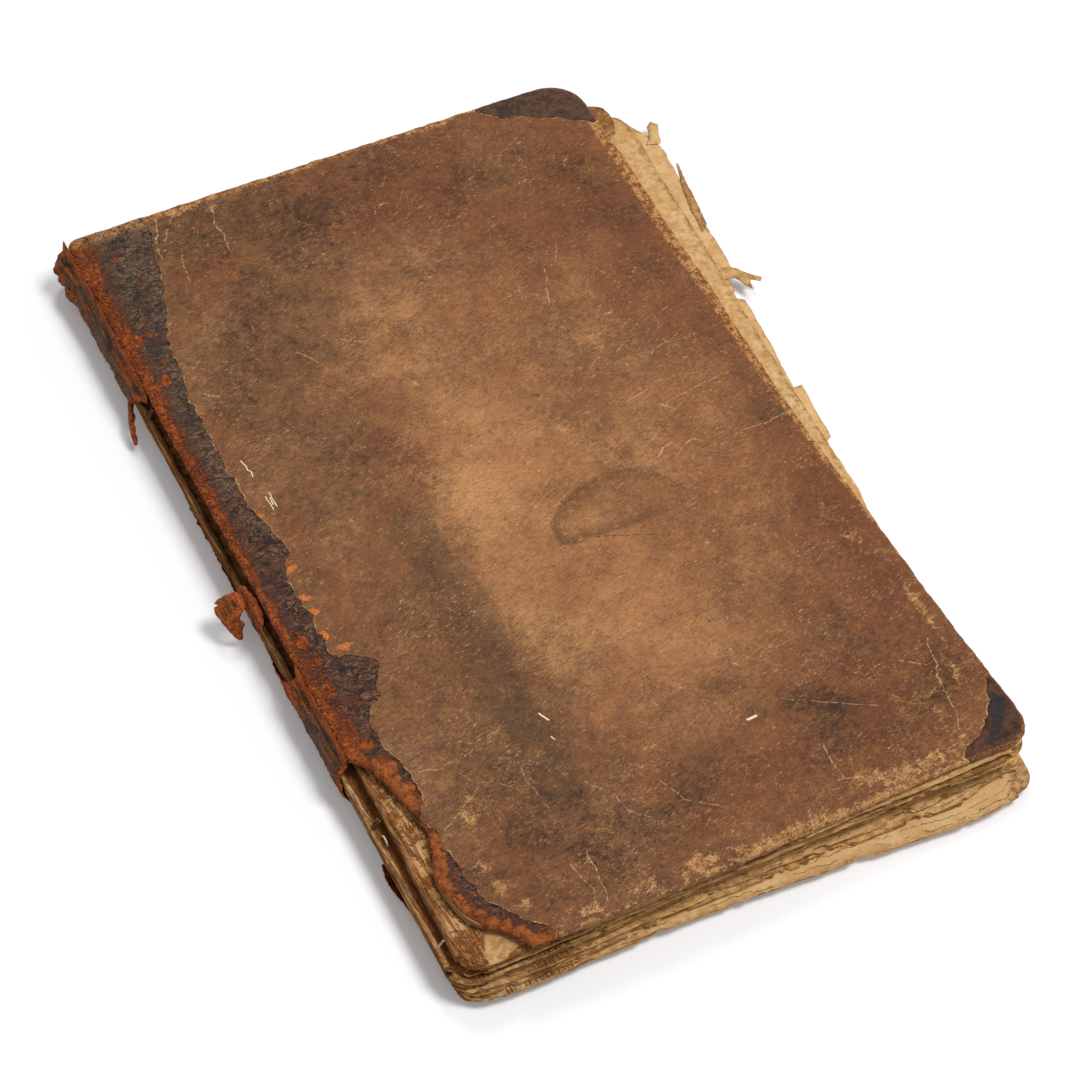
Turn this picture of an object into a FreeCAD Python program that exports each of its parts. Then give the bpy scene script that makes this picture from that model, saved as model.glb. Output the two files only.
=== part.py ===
import FreeCAD, Part
import math
import os

# A worn, quarter-bound account book with leather corners, lying closed on its back cover.
# It is built from its tail-spine corner: X runs from the spine to the fore edge, Y from the
# tail to the head and Z up. At the end every piece moves so that the origin is the middle of
# the back cover's underside.

V = FreeCAD.Vector

# Boards and their coverings, in millimetres
BOARD_WIDTH = 204.0
BOARD_HEIGHT = 334.0
BOOK_THICKNESS = 21.0
COVER_THICKNESS = 3.0
LEATHER_THICKNESS = 0.6
LINING_THICKNESS = 0.4
TURN_IN = 16.0
STRIP_WIDTH = 12.0
FORE_CORNER_RADIUS = 8.0
WORN_CORNER_RADIUS = 13.0
SPINE_CORNER_RADIUS = 4.0

# Wear of the front board: how far its fore edge is rubbed away, how far its tail edge
# bows out, and how much of its tail-spine corner is broken off
FORE_WEAR = 3.9
TAIL_BOW = 1.8
BREAK_WIDTH = 23.0
BREAK_HEIGHT = 86.0

# Leather corners, measured along the head or tail edge and along the fore edge
HEAD_CORNER_REACH = (36.0, 28.0)
TAIL_CORNER_REACH = (27.0, 29.0)

# Gatherings of the text block, from the back cover up
BLOCK_CLEARANCE = 0.3
LEAF_WIDTH = 202.5
LEAF_HEIGHT = 330.0
HEAD_MARGIN = 2.0
LEAF_GAP = 0.3
GAP_DEPTH = 6.0
SPINE_ROUND = 3.0
FOLD_INSET = 0.4
RAGGED_DEPTH = 0.9
FAN_PIVOT = 20.0
FAN_DEGREES = (4.0, 2.1, 1.3, 0.9, 0.7, 0.8, 1.2, 1.5, 1.0)
LOOSE_GATHERINGS = 3
LOOSE_SETBACK = 1.0
LOWEST_CORNER = 5.0
HIGHEST_CORNER = 13.0
LEAF_FORE_CORNER = 11.0
SLIVER_THICKNESS = 0.5

# Sewing of the gatherings on cords let into the folds
SEWING_STATIONS = (0.19, 0.47, 0.75)
CORD_DIAMETER = 1.8
CORD_CLEARANCE = 0.15
KERF_DEPTH = 2.6
KETTLE_STATIONS = (0.045, 0.955)
THREAD_DIAMETER = 0.6
KETTLE_DEPTH = 1.2
LOOP_RADIUS = 1.9
LOOP_STATION = 0.172

# What is left of the spine leather
SPINE_LEATHER = 0.8
SPINE_CLEARANCE = 0.1
HEAD_PIECE = 76.0
HEAD_CAP = 9.0
CAP_SWELL = 1.3
CAP_LOBE_RADIUS = 2.6
LOWER_PIECE_TOP = 126.0
LOWER_PIECE_BOTTOM = 79.0
LOWER_FRINGE_TOP = 230.0
LOWER_FRINGE_SHARE = 0.14
MIDDLE_PIECE_TOP = 171.0
MIDDLE_PIECE_BOTTOM = 150.0
TAIL_TAB_TOP = 57.0
TAIL_TAB_BOTTOM = 33.0
STRIP_FALL = 13.0
STRIP_THICKNESS = 0.7
FLAP_REACH = 8.5
FLAP_THICKNESS = 0.7
FLAP_LEVEL = 0.72

# A margin by which cutting shapes run past what they cut
PAST = 10.0

FRONT_BOTTOM = BOOK_THICKNESS - COVER_THICKNESS
BLOCK_BOTTOM = COVER_THICKNESS + BLOCK_CLEARANCE
BLOCK_TOP = FRONT_BOTTOM - BLOCK_CLEARANCE
BLOCK_MIDDLE = (BLOCK_BOTTOM + BLOCK_TOP) / 2
GATHERING_THICKNESS = (BLOCK_TOP - BLOCK_BOTTOM) / len(FAN_DEGREES)
LEAF_HEAD = BOARD_HEIGHT - HEAD_MARGIN
LEAF_TAIL = LEAF_HEAD - LEAF_HEIGHT


def line(start, end):
    return Part.LineSegment(start, end).toShape()


def arc(start, middle, end):
    return Part.Arc(start, middle, end).toShape()


def curve(points):
    spline = Part.BSplineCurve()
    spline.interpolate(points)
    return spline.toShape()


def prism(edges, bottom, top):
    """A flat outline in the XY plane, raised from one level to another."""
    solid = Part.Face(Part.Wire(edges)).extrude(V(0, 0, top - bottom))
    solid.translate(V(0, 0, bottom))
    return solid


def polygon_prism(points, bottom, top):
    corners = [V(x, y, 0) for x, y in points]
    return prism(Part.makePolygon(corners + corners[:1]).Edges, bottom, top)


def box(low, high):
    return Part.makeBox(high[0] - low[0], high[1] - low[1], high[2] - low[2], V(*low))


def corner_arc(at, centre, radius, start_degrees):
    """A quarter turn, anticlockwise seen from above."""
    turn = [math.radians(start_degrees + step) for step in (0, 45, 90)]
    points = [at(centre[0] + radius * math.cos(a), centre[1] + radius * math.sin(a)) for a in turn]
    return arc(*points)


def inset_mapper(inset):
    """Board outlines shrink about the board's middle, so that every layer keeps the same form."""
    scale_x = (BOARD_WIDTH - 2 * inset) / BOARD_WIDTH
    scale_y = (BOARD_HEIGHT - 2 * inset) / BOARD_HEIGHT

    def at(x, y):
        return V(inset + x * scale_x, inset + y * scale_y, 0)
    return at


def front_outline(inset):
    """The front board: straight spine and head, rubbed fore edge, broken tail-spine corner."""
    at = inset_mapper(inset)
    width, height = BOARD_WIDTH, BOARD_HEIGHT
    tail_shape = ((0.37, -1.0), (0.61, -0.35), (0.85, 0.3))
    wear_shape = ((0.14, 0.4), (0.27, 0.65), (0.42, 1.0), (0.545, 0.9), (0.655, 0.4), (0.73, 0.45), (0.85, 0.05))
    break_shape = ((0.26, 0.92), (0.43, 0.67), (0.53, 0.58), (0.28, 0.42), (0.27, 0.30),
                   (0.50, 0.145), (0.75, 0.10))
    tail_start = at(BREAK_WIDTH, 0)
    tail_end = at(width - FORE_CORNER_RADIUS, 0)
    tail = [tail_start] + [at(x * width, y * TAIL_BOW) for x, y in tail_shape] + [tail_end]
    fore = [at(width, FORE_CORNER_RADIUS)]
    fore += [at(width - depth * FORE_WEAR, y * height) for y, depth in wear_shape]
    fore += [at(width, height - WORN_CORNER_RADIUS)]
    broken = [at(0, BREAK_HEIGHT)] + [at(x * BREAK_WIDTH, y * BREAK_HEIGHT) for x, y in break_shape]
    broken += [tail_start]
    return [
        curve(tail),
        corner_arc(at, (width - FORE_CORNER_RADIUS, FORE_CORNER_RADIUS), FORE_CORNER_RADIUS, -90),
        curve(fore),
        corner_arc(at, (width - WORN_CORNER_RADIUS, height - WORN_CORNER_RADIUS), WORN_CORNER_RADIUS, 0),
        line(at(width - WORN_CORNER_RADIUS, height), at(SPINE_CORNER_RADIUS, height)),
        corner_arc(at, (SPINE_CORNER_RADIUS, height - SPINE_CORNER_RADIUS), SPINE_CORNER_RADIUS, 90),
        line(at(0, height - SPINE_CORNER_RADIUS), at(0, BREAK_HEIGHT)),
        curve(broken),
    ]


def back_outline(inset):
    """The back board: whole, with the same rounded corners."""
    at = inset_mapper(inset)
    width, height = BOARD_WIDTH, BOARD_HEIGHT
    fore, spine = FORE_CORNER_RADIUS, SPINE_CORNER_RADIUS
    return [
        line(at(spine, 0), at(width - fore, 0)),
        corner_arc(at, (width - fore, fore), fore, -90),
        line(at(width, fore), at(width, height - fore)),
        corner_arc(at, (width - fore, height - fore), fore, 0),
        line(at(width - fore, height), at(spine, height)),
        corner_arc(at, (spine, height - spine), spine, 90),
        line(at(0, height - spine), at(0, spine)),
        corner_arc(at, (spine, spine), spine, 180),
    ]


def torn_strip_region():
    """The dark spine leather on the front board: its inner edge is torn, wider at head and tail.

    The edge is held as shares of the board's height and of the strip's width.
    """
    torn_edge = ((1.02, 2.5), (0.966, 2.46), (0.91, 2.13), (0.855, 1.67), (0.80, 1.19), (0.735, 1.03),
                 (0.585, 0.97), (0.512, 1.43), (0.488, 0.98), (0.372, 1.02), (0.356, 1.98),
                 (0.338, 2.05), (0.317, 1.65), (0.296, 1.08), (0.236, 0.96), (0.20, 1.08),
                 (0.145, 1.42), (0.085, 1.67), (0.03, 2.83), (0.008, 5.0), (-0.03, 5.5))
    edge = [(across * STRIP_WIDTH, up * BOARD_HEIGHT) for up, across in torn_edge]
    outside = [(-PAST, -PAST), (-PAST, BOARD_HEIGHT + PAST)]
    return polygon_prism(edge + outside, -PAST, BOOK_THICKNESS + PAST)


def straight_strip_region():
    """The spine leather on the back board, with a plain edge."""
    return box((-PAST, -PAST, -PAST), (STRIP_WIDTH, BOARD_HEIGHT + PAST, BOOK_THICKNESS + PAST))


def corner_region(at_head, reach):
    """A leather corner, cut across the board's fore corner with a slightly hollow edge."""
    along, up = reach
    edge = [(1.2, -0.35), (1.0, 0.0), (0.72, 0.33), (0.36, 0.62), (0.0, 1.0), (-0.35, 1.2)]
    points = [(BOARD_WIDTH - x * along, y * up) for x, y in edge]
    points += [(BOARD_WIDTH + PAST, -PAST)]
    if at_head:
        points = [(x, BOARD_HEIGHT - y) for x, y in points]
    return polygon_prism(points, -PAST, BOOK_THICKNESS + PAST)


def cover(outline, bottom, outside_up, strip_region, side):
    """One cover: a pasteboard, leather wrapped round its edges and a pasted-down leaf inside.

    The leather is one skin over the outside, the edges and the turn-ins, shared out between
    the side, the spine strip and the two corners, which meet edge to edge.
    """
    top = bottom + COVER_THICKNESS
    if outside_up:
        core_bottom, core_top = bottom + LINING_THICKNESS, top - LEATHER_THICKNESS
        lining_bottom, lining_top = bottom, core_bottom
    else:
        core_bottom, core_top = bottom + LEATHER_THICKNESS, top - LINING_THICKNESS
        lining_bottom, lining_top = core_top, top
    board = prism(outline(LEATHER_THICKNESS), core_bottom, core_top)
    window = box((-PAST, TURN_IN, lining_bottom), (BOARD_WIDTH - TURN_IN, BOARD_HEIGHT - TURN_IN, lining_top))
    pastedown = prism(outline(LEATHER_THICKNESS), lining_bottom, lining_top).common(window)
    skin = prism(outline(0), bottom, top).cut(board).cut(pastedown)
    head_region = corner_region(True, HEAD_CORNER_REACH)
    tail_region = corner_region(False, TAIL_CORNER_REACH)
    return {
        side + "_board": board,
        side + "_pastedown": pastedown,
        side + "_spine_strip": skin.common(strip_region),
        side + "_head_corner": skin.common(head_region),
        side + "_tail_corner": skin.common(tail_region),
        side + "_side_leather": skin.cut(strip_region).cut(head_region).cut(tail_region),
    }


def spine_x(level, offset):
    """Where the rounded spine lies at one level: a round arc that bows out from the fold line."""
    half = (BLOCK_TOP - BLOCK_BOTTOM) / 2
    radius = (half ** 2 + SPINE_ROUND ** 2) / (2 * SPINE_ROUND)
    return offset + radius - SPINE_ROUND - math.sqrt(radius ** 2 - (level - BLOCK_MIDDLE) ** 2)


def spine_arc(offset, bottom, top, y):
    levels = (bottom, (bottom + top) / 2, top)
    return arc(*[V(spine_x(level, offset), y, level) for level in levels])


def spine_band(inner, outer, bottom, top, low_y, high_y):
    """A curved sheet that follows the rounded spine, between two offsets from it."""
    inside = spine_arc(inner, bottom, top, low_y)
    outside = spine_arc(outer, top, bottom, low_y)
    edges = [
        inside,
        line(inside.Vertexes[-1].Point, outside.Vertexes[0].Point),
        outside,
        line(outside.Vertexes[-1].Point, inside.Vertexes[0].Point),
    ]
    return Part.Face(Part.Wire(Part.__sortEdges__(edges))).extrude(V(0, high_y - low_y, 0))


def ragged_edge(start, end, seed):
    """A worn leaf edge between two points, with shallow bites worked out from sines."""
    steps = 14
    points = []
    for step in range(steps + 1):
        share = step / steps
        bite = RAGGED_DEPTH * (0.5 + 0.5 * math.sin(2.3 * step + 1.7 * seed) * math.cos(1.1 * step - seed))
        x = start[0] + share * (end[0] - start[0])
        y = start[1] + share * (end[1] - start[1])
        points.append((x, y + bite))
    return points


def fanned(point, degrees):
    """A point of the square leaf after the leaf has turned clockwise about its pivot."""
    turn = math.radians(degrees)
    x, y = point[0] - FAN_PIVOT, point[1] - LEAF_TAIL
    return (
        FAN_PIVOT + x * math.cos(turn) + y * math.sin(turn),
        LEAF_TAIL - x * math.sin(turn) + y * math.cos(turn),
    )


def rounded_outline(points, radii):
    """A closed outline whose corners are rounded, each by its own radius."""
    edges = []
    ends = []
    count = len(points)
    for index, radius in enumerate(radii):
        here = V(points[index][0], points[index][1], 0)
        before = V(points[index - 1][0], points[index - 1][1], 0)
        after = V(points[(index + 1) % count][0], points[(index + 1) % count][1], 0)
        to_before = (before - here).normalize()
        to_after = (after - here).normalize()
        if radius == 0:
            ends.append((here, None, here))
            continue
        half = to_before.getAngle(to_after) / 2
        reach = radius / math.tan(half)
        inward = (to_before + to_after).normalize()
        centre = here + inward * (radius / math.sin(half))
        ends.append((here + to_before * reach, centre - inward * radius, here + to_after * reach))
    for index in range(count):
        start, middle, end = ends[index]
        if middle is not None:
            edges.append(arc(start, middle, end))
        edges.append(line(end, ends[(index + 1) % count][0]))
    return edges


def gathering(index):
    """One folded gathering: a rounded fold at the spine and worn edges elsewhere.

    The sewn ones keep their fold straight while their leaves fan out. The uppermost have come
    loose and turned as a whole, which opens a gap along the spine.
    """
    bottom = BLOCK_BOTTOM + index * GATHERING_THICKNESS + LEAF_GAP / 2
    top = bottom + GATHERING_THICKNESS - LEAF_GAP
    level = (bottom + top) / 2
    share = index / (len(FAN_DEGREES) - 1)
    loose = index >= len(FAN_DEGREES) - LOOSE_GATHERINGS
    degrees = FAN_DEGREES[index]
    fold = spine_x(level, FOLD_INSET)
    if loose:
        fold = LOOSE_SETBACK
    spine_radius = LOWEST_CORNER + share * (HIGHEST_CORNER - LOWEST_CORNER)
    tail_start = (fold + spine_radius, LEAF_TAIL)
    tail_end = fanned((LEAF_WIDTH, LEAF_TAIL), degrees)
    points = [(fold, LEAF_TAIL)] + ragged_edge(tail_start, tail_end, index)[1:-1]
    points += [tail_end, fanned((LEAF_WIDTH, LEAF_HEAD), degrees), (fold, LEAF_HEAD)]
    radii = [spine_radius * 0.9] + [0] * (len(points) - 4) + [LEAF_FORE_CORNER, LEAF_FORE_CORNER, 1.0]
    outline = prism(rounded_outline(points, radii), bottom - PAST, top + PAST)

    radius = (top - bottom) / 2
    far = 2 * BOARD_WIDTH
    start_y = LEAF_TAIL - BOARD_WIDTH
    low = V(fold + radius, start_y, bottom)
    high = V(fold + radius, start_y, top)
    section = [
        arc(low, V(fold, start_y, level), high),
        line(high, V(far, start_y, top)),
        line(V(far, start_y, top), V(far, start_y, bottom)),
        line(V(far, start_y, bottom), low),
    ]
    folded = Part.Face(Part.Wire(section)).extrude(V(0, BOARD_HEIGHT + 2 * BOARD_WIDTH, 0))
    piece = outline.common(folded)
    if loose:
        piece.rotate(V(fold, LEAF_TAIL, 0), V(0, 0, 1), -degrees)
    return piece


def torn_sliver(points):
    """A torn strip that stands out from the fore edge of the lowest leaves."""
    level = BLOCK_BOTTOM + GATHERING_THICKNESS - LEAF_GAP / 2
    placed = [fanned((LEAF_WIDTH + x, y * LEAF_HEAD), FAN_DEGREES[0]) for x, y in points]
    return polygon_prism(placed, level - SLIVER_THICKNESS, level)


def kerf(station, width, depth):
    """A saw cut across the folds that takes a cord or the thread."""
    y = station * BOARD_HEIGHT
    return spine_band(depth, -PAST, BLOCK_BOTTOM + 0.01, BLOCK_TOP - 0.01, y - width / 2, y + width / 2)


def text_block():
    """All the leaves as one solid: the fanned gatherings on a common core."""
    core = box(
        (GAP_DEPTH, LEAF_TAIL + 2 * GAP_DEPTH, BLOCK_BOTTOM),
        (LEAF_WIDTH - GAP_DEPTH, LEAF_HEAD - 2 * GAP_DEPTH, BLOCK_TOP),
    )
    gatherings = [gathering(index) for index in range(len(FAN_DEGREES))]
    slivers = [
        torn_sliver([(-6, 0.955), (-3, 0.93), (2.5, 0.944), (3, 0.958), (-1, 0.965)]),
        torn_sliver([(-3, 0.80), (-2, 0.77), (2.2, 0.838), (2.7, 0.845)]),
        torn_sliver([(-4, 0.66), (-3, 0.64), (6, 0.652), (3, 0.662), (6.5, 0.672), (0, 0.675)]),
        torn_sliver([(-2, 0.51), (-2, 0.43), (1.5, 0.43), (2, 0.505)]),
    ]
    block = core.multiFuse(gatherings + slivers)
    cord_kerfs = [kerf(y, CORD_DIAMETER + 2 * CORD_CLEARANCE, KERF_DEPTH) for y in SEWING_STATIONS]
    thread_kerfs = [kerf(y, THREAD_DIAMETER + 2 * CORD_CLEARANCE, KETTLE_DEPTH) for y in KETTLE_STATIONS]
    return block.cut(Part.makeCompound(cord_kerfs + thread_kerfs))


def laid_in(station, diameter, depth):
    """A round cord or thread that lies at the bottom of its saw cut, following the spine."""
    y = station * BOARD_HEIGHT
    offset = depth - CORD_CLEARANCE - diameter / 2
    end = BLOCK_CLEARANCE + diameter / 2
    path = spine_arc(offset, BLOCK_BOTTOM + end, BLOCK_TOP - end, y)
    start = path.valueAt(path.FirstParameter)
    direction = path.tangentAt(path.FirstParameter)
    ring = Part.Wire(Part.makeCircle(diameter / 2, start, direction))
    return Part.Wire(path).makePipeShell([ring], True, False)


def thread_loop():
    """A loose end of the thread, curled up on the uppermost sewn fold near the tail."""
    sewn = len(FAN_DEGREES) - LOOSE_GATHERINGS
    level = BLOCK_BOTTOM + sewn * GATHERING_THICKNESS - LEAF_GAP / 2
    y = LOOP_STATION * BOARD_HEIGHT
    ring = Part.makeTorus(LOOP_RADIUS, THREAD_DIAMETER / 2, V(0, y, level), V(1, 0, 0))
    return ring.common(box((-PAST, y - PAST, level), (PAST, y + PAST, level + PAST)))


def remnant(outline_yz):
    """A piece of the spine leather, cut to its torn outline as seen from the side."""
    bottom, top = BLOCK_BOTTOM + SPINE_CLEARANCE, BLOCK_TOP - SPINE_CLEARANCE
    inner = -SPINE_CLEARANCE
    outer = inner - SPINE_LEATHER
    heights = [y for y, level in outline_yz]
    sheet = spine_band(inner, outer, bottom, top, min(heights) - PAST, max(heights) + PAST)
    rise = top - bottom
    corners = [V(-2 * PAST, y, bottom + level * rise) for y, level in outline_yz]
    cutter = Part.Face(Part.makePolygon(corners + corners[:1])).extrude(V(4 * PAST, 0, 0))
    return sheet.common(cutter)


def leaf_loft(sections):
    """A thin bent tongue of leather through flat four-sided sections."""
    wires = []
    for section in sections:
        points = [V(*point) for point in section]
        wires.append(Part.makePolygon(points + points[:1]))
    return Part.makeLoft(wires, True, False)


def head_piece():
    """The leather left at the head: a torn shell with its crumpled cap and a hanging strip."""
    top_y = BOARD_HEIGHT - 1
    low_y = top_y - HEAD_PIECE
    shell = remnant([(top_y, -0.1), (top_y, 1.1), (low_y - 4, 1.1), (low_y + 1, 0.6), (low_y + 4, 0.3),
                     (low_y + 12, -0.1)])
    outer = -SPINE_CLEARANCE - SPINE_LEATHER
    cap = spine_band(outer + SPINE_LEATHER / 2, outer - CAP_SWELL, BLOCK_BOTTOM + 1, BLOCK_TOP - 1,
                     top_y - HEAD_CAP, top_y)
    rise = BLOCK_TOP - BLOCK_BOTTOM
    lobes = []
    for share, back in ((0.25, 0.2), (0.52, 0.75), (0.78, 0.35)):
        level = BLOCK_BOTTOM + share * rise
        centre = V(spine_x(level, outer), top_y - CAP_LOBE_RADIUS - back * HEAD_CAP / 2, level)
        lobes.append(Part.makeSphere(CAP_LOBE_RADIUS, centre))
    inside = spine_band(-SPINE_CLEARANCE, PAST, BLOCK_BOTTOM - PAST / 2 + 3, BLOCK_TOP + PAST / 2 - 3,
                        top_y - 2 * HEAD_CAP, top_y + PAST)
    lumps = Part.makeCompound(lobes).cut(inside)
    strip = hanging_strip(low_y + 4)
    return shell.multiFuse([cap, strip] + lumps.Solids)


def hanging_strip(root_y):
    """A narrow strip torn from the lower end of the head piece, drooping beside the spine."""
    level = BLOCK_MIDDLE + 0.5
    root_x = spine_x(level, -SPINE_CLEARANCE - SPINE_LEATHER / 2)
    half = STRIP_THICKNESS / 2
    fall = STRIP_FALL
    places = ((0.0, 4.0, 0.0, 1.6), (-1.6, -0.3 * fall, -1.2, 1.5), (-3.0, -0.65 * fall, -3.4, 1.3),
              (-3.8, -fall, -5.8, 0.5))
    sections = []
    for out, along, drop, wide in places:
        x, y, z = root_x + out, root_y + along, level + drop
        sections.append([(x - half, y, z - wide), (x + half, y, z - wide), (x + half, y, z + wide),
                         (x - half, y, z + wide)])
    return leaf_loft(sections)


def middle_piece():
    """A patch of spine leather part way down, with a torn flap that curls out and down."""
    low, high = MIDDLE_PIECE_BOTTOM, MIDDLE_PIECE_TOP
    patch = remnant([(high, 0.62), (high - 4, 1.1), (low, 1.1), (low - 3, 0.8), (low + 4, 0.45)])
    level = BLOCK_BOTTOM + FLAP_LEVEL * (BLOCK_TOP - BLOCK_BOTTOM)
    root_x = spine_x(level, -SPINE_CLEARANCE - SPINE_LEATHER / 2)
    thin = FLAP_THICKNESS
    places = ((0.0, 0.3, 0.7, 0.0), (-0.45, 0.22, 0.82, 0.5), (-0.85, 0.3, 0.95, -1.6), (-1.0, 0.05, 0.7, -5.0))
    sections = []
    for out, start, end, rise in places:
        x, z = root_x + out * FLAP_REACH, level + rise
        y0, y1 = low + start * (high - low), low + end * (high - low)
        sections.append([(x, y0, z - thin / 2), (x, y1, z - thin / 2), (x, y1, z + thin / 2), (x, y0, z + thin / 2)])
    return patch.fuse(leaf_loft(sections))


def lower_piece():
    """The leather left above the broken corner: it ends in a point, and a fringe runs up from it."""
    low, high = LOWER_PIECE_BOTTOM, LOWER_PIECE_TOP
    fringe, share = LOWER_FRINGE_TOP, LOWER_FRINGE_SHARE
    return remnant([(high, 1.1), (high - 5, 0.5), (high + 6, 2 * share), (high + 30, share), (fringe - 25, share),
                    (fringe, -0.02), (fringe - 8, -0.1), (low + 9, -0.1), (low + 4, 0.2), (low, 0.75),
                    (low + 3, 1.1)])


def tail_tab():
    """A small torn tab near the tail, low on the spine."""
    low, high = TAIL_TAB_BOTTOM, TAIL_TAB_TOP
    return remnant([(high, -0.1), (high - 2, 0.3), (low + 9, 0.42), (low, 0.2), (low - 2, -0.1)])


def write_part(name, shape):
    """Moves a piece so that the origin is the middle of the underside, and writes it."""
    placed = shape.copy()
    placed.translate(V(-BOARD_WIDTH / 2, -BOARD_HEIGHT / 2, 0))
    placed.exportStep("parts/" + name + ".step")


def main():
    os.makedirs("parts", exist_ok=True)
    pieces = {}
    pieces.update(cover(front_outline, FRONT_BOTTOM, True, torn_strip_region(), "front"))
    pieces.update(cover(back_outline, 0, False, straight_strip_region(), "back"))
    pieces["text_block"] = text_block()
    pieces["sewing_cords"] = Part.makeCompound(
        [laid_in(station, CORD_DIAMETER, KERF_DEPTH) for station in SEWING_STATIONS])
    kettle_stitches = [laid_in(station, THREAD_DIAMETER, KETTLE_DEPTH) for station in KETTLE_STATIONS]
    pieces["sewing_thread"] = Part.makeCompound(kettle_stitches + [thread_loop()])
    pieces["spine_leather_head"] = head_piece()
    pieces["spine_leather_middle"] = middle_piece()
    pieces["spine_leather_lower"] = lower_piece()
    pieces["spine_tail_tab"] = tail_tab()
    for name, shape in pieces.items():
        write_part(name, shape)


main()
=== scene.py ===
import math

import bpy
import numpy as np
from mathutils import Matrix, Vector, geometry, noise


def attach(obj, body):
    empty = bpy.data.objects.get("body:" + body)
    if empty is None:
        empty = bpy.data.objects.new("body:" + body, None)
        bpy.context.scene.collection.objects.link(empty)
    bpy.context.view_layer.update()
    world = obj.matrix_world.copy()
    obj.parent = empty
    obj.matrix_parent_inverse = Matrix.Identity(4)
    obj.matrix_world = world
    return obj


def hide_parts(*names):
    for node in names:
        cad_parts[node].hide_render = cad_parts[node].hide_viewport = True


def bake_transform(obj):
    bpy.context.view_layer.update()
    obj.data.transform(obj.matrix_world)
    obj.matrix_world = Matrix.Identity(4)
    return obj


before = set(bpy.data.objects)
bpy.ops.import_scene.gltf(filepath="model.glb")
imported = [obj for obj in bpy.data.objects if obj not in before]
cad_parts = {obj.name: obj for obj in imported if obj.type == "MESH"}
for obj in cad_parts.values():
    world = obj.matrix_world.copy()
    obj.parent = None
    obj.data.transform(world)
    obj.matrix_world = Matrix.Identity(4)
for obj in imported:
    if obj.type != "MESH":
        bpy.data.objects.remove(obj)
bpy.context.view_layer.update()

# ---------------------------------------------------------------------------------------
# The table, the lamps and the view. The book lies on white paper, seen from above its tail
# and its spine. A large lamp stands over its fore edge and tail and a weaker one over its head,
# in a bright room.
# ---------------------------------------------------------------------------------------
MM = 0.001
CAMERA_PLACE = Vector((-0.3081, -0.5789, 0.8245))
CAMERA_RIGHT = Vector((0.89450, -0.44612, 0.02910))
CAMERA_UP = Vector((0.33595, 0.71369, 0.61464))
LENS = 101.3
FLOOR_HALF = 4.0
# The lamps' places, sizes and watts
LAMPS = (((0.66, -0.4, 1.8), 0.7, 25.0), ((0.35, 0.9, 1.5), 0.4, 5.5))
ROOM_STRENGTH = 0.42
FLOOR_LIFT = 0.1


def tint(red, green, blue):
    """A colour as a screen shows it, 0 to 255, made linear."""
    shares = [channel / 255 for channel in (red, green, blue)]
    return (*[s / 12.92 if s < 0.04 else ((s + 0.055) / 1.055) ** 2.4 for s in shares], 1.0)


class Finish:
    """A material under construction. Its patterns read the piece's own coordinates."""

    def __init__(self, name):
        self.material = bpy.data.materials.new(name)
        self.material.use_nodes = True
        self.tree = self.material.node_tree
        self.surface = self.tree.nodes["Principled BSDF"]
        self.here = self.node("TexCoord").outputs["Object"]

    def join(self, socket, value):
        if isinstance(value, bpy.types.NodeSocket):
            self.tree.links.new(value, socket)
        else:
            socket.default_value = value

    def node(self, kind, inputs=None, **settings):
        made = self.tree.nodes.new("ShaderNode" + kind)
        for name, value in settings.items():
            setattr(made, name, value)
        for name, value in (inputs or {}).items():
            self.join(made.inputs[name], value)
        return made

    def calc(self, operation, first, second=0.0, third=0.0):
        return self.node("Math", {0: first, 1: second, 2: third}, operation=operation).outputs[0]

    def times(self, *values):
        product = values[0]
        for value in values[1:]:
            product = self.calc("MULTIPLY", product, value)
        return product

    def either(self, *values):
        most = values[0]
        for value in values[1:]:
            most = self.calc("MAXIMUM", most, value)
        return most

    def step(self, value, low, high, start=0.0, end=1.0):
        """Goes smoothly from start to end while the value goes from low to high."""
        inputs = {"Value": value, "From Min": low, "From Max": high, "To Min": start, "To Max": end}
        return self.node("MapRange", inputs, interpolation_type="SMOOTHSTEP").outputs["Result"]

    def placed(self, stretch=(1, 1, 1), degrees=0.0, shift=(0, 0, 0)):
        """The piece's coordinates turned about Z, then scaled."""
        turned = self.node("Mapping", {"Vector": self.here, "Rotation": (0, 0, math.radians(degrees)),
                                       "Location": shift}).outputs[0]
        return self.node("Mapping", {"Vector": turned, "Scale": stretch}).outputs[0]

    def clouds(self, size, detail=3.0, roughness=0.5, at=None, warp=0.0):
        """Soft noise whose features are about size millimetres across."""
        inputs = {"Vector": at or self.here, "Scale": 1 / (size * MM), "Detail": detail,
                  "Roughness": roughness, "Distortion": warp}
        return self.node("TexNoise", inputs).outputs[0]

    def cells(self, size, feature="F1", at=None, out="Distance"):
        inputs = {"Vector": at or self.here, "Scale": 1 / (size * MM)}
        return self.node("TexVoronoi", inputs, feature=feature).outputs[out]

    def mix(self, share, first, second, how="MIX"):
        made = self.node("Mix", {0: share, 6: first, 7: second}, data_type="RGBA", blend_type=how)
        return made.outputs[2]

    def mark(self, name):
        """A value that the mesh carries on its points."""
        return self.node("Attribute", attribute_name=name).outputs["Fac"]

    def bump(self, height, depth, under=None):
        """Relief of depth millimetres, on top of another relief."""
        inputs = {"Height": height, "Distance": depth * MM, "Strength": 1.0}
        if under is not None:
            inputs["Normal"] = under
        return self.node("Bump", inputs).outputs[0]

    def done(self, colour, roughness, normal=None, specular=0.5):
        self.join(self.surface.inputs["Base Color"], colour)
        self.join(self.surface.inputs["Roughness"], roughness)
        self.surface.inputs["Specular IOR Level"].default_value = specular
        if normal is not None:
            self.join(self.surface.inputs["Normal"], normal)
        return self.material


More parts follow.
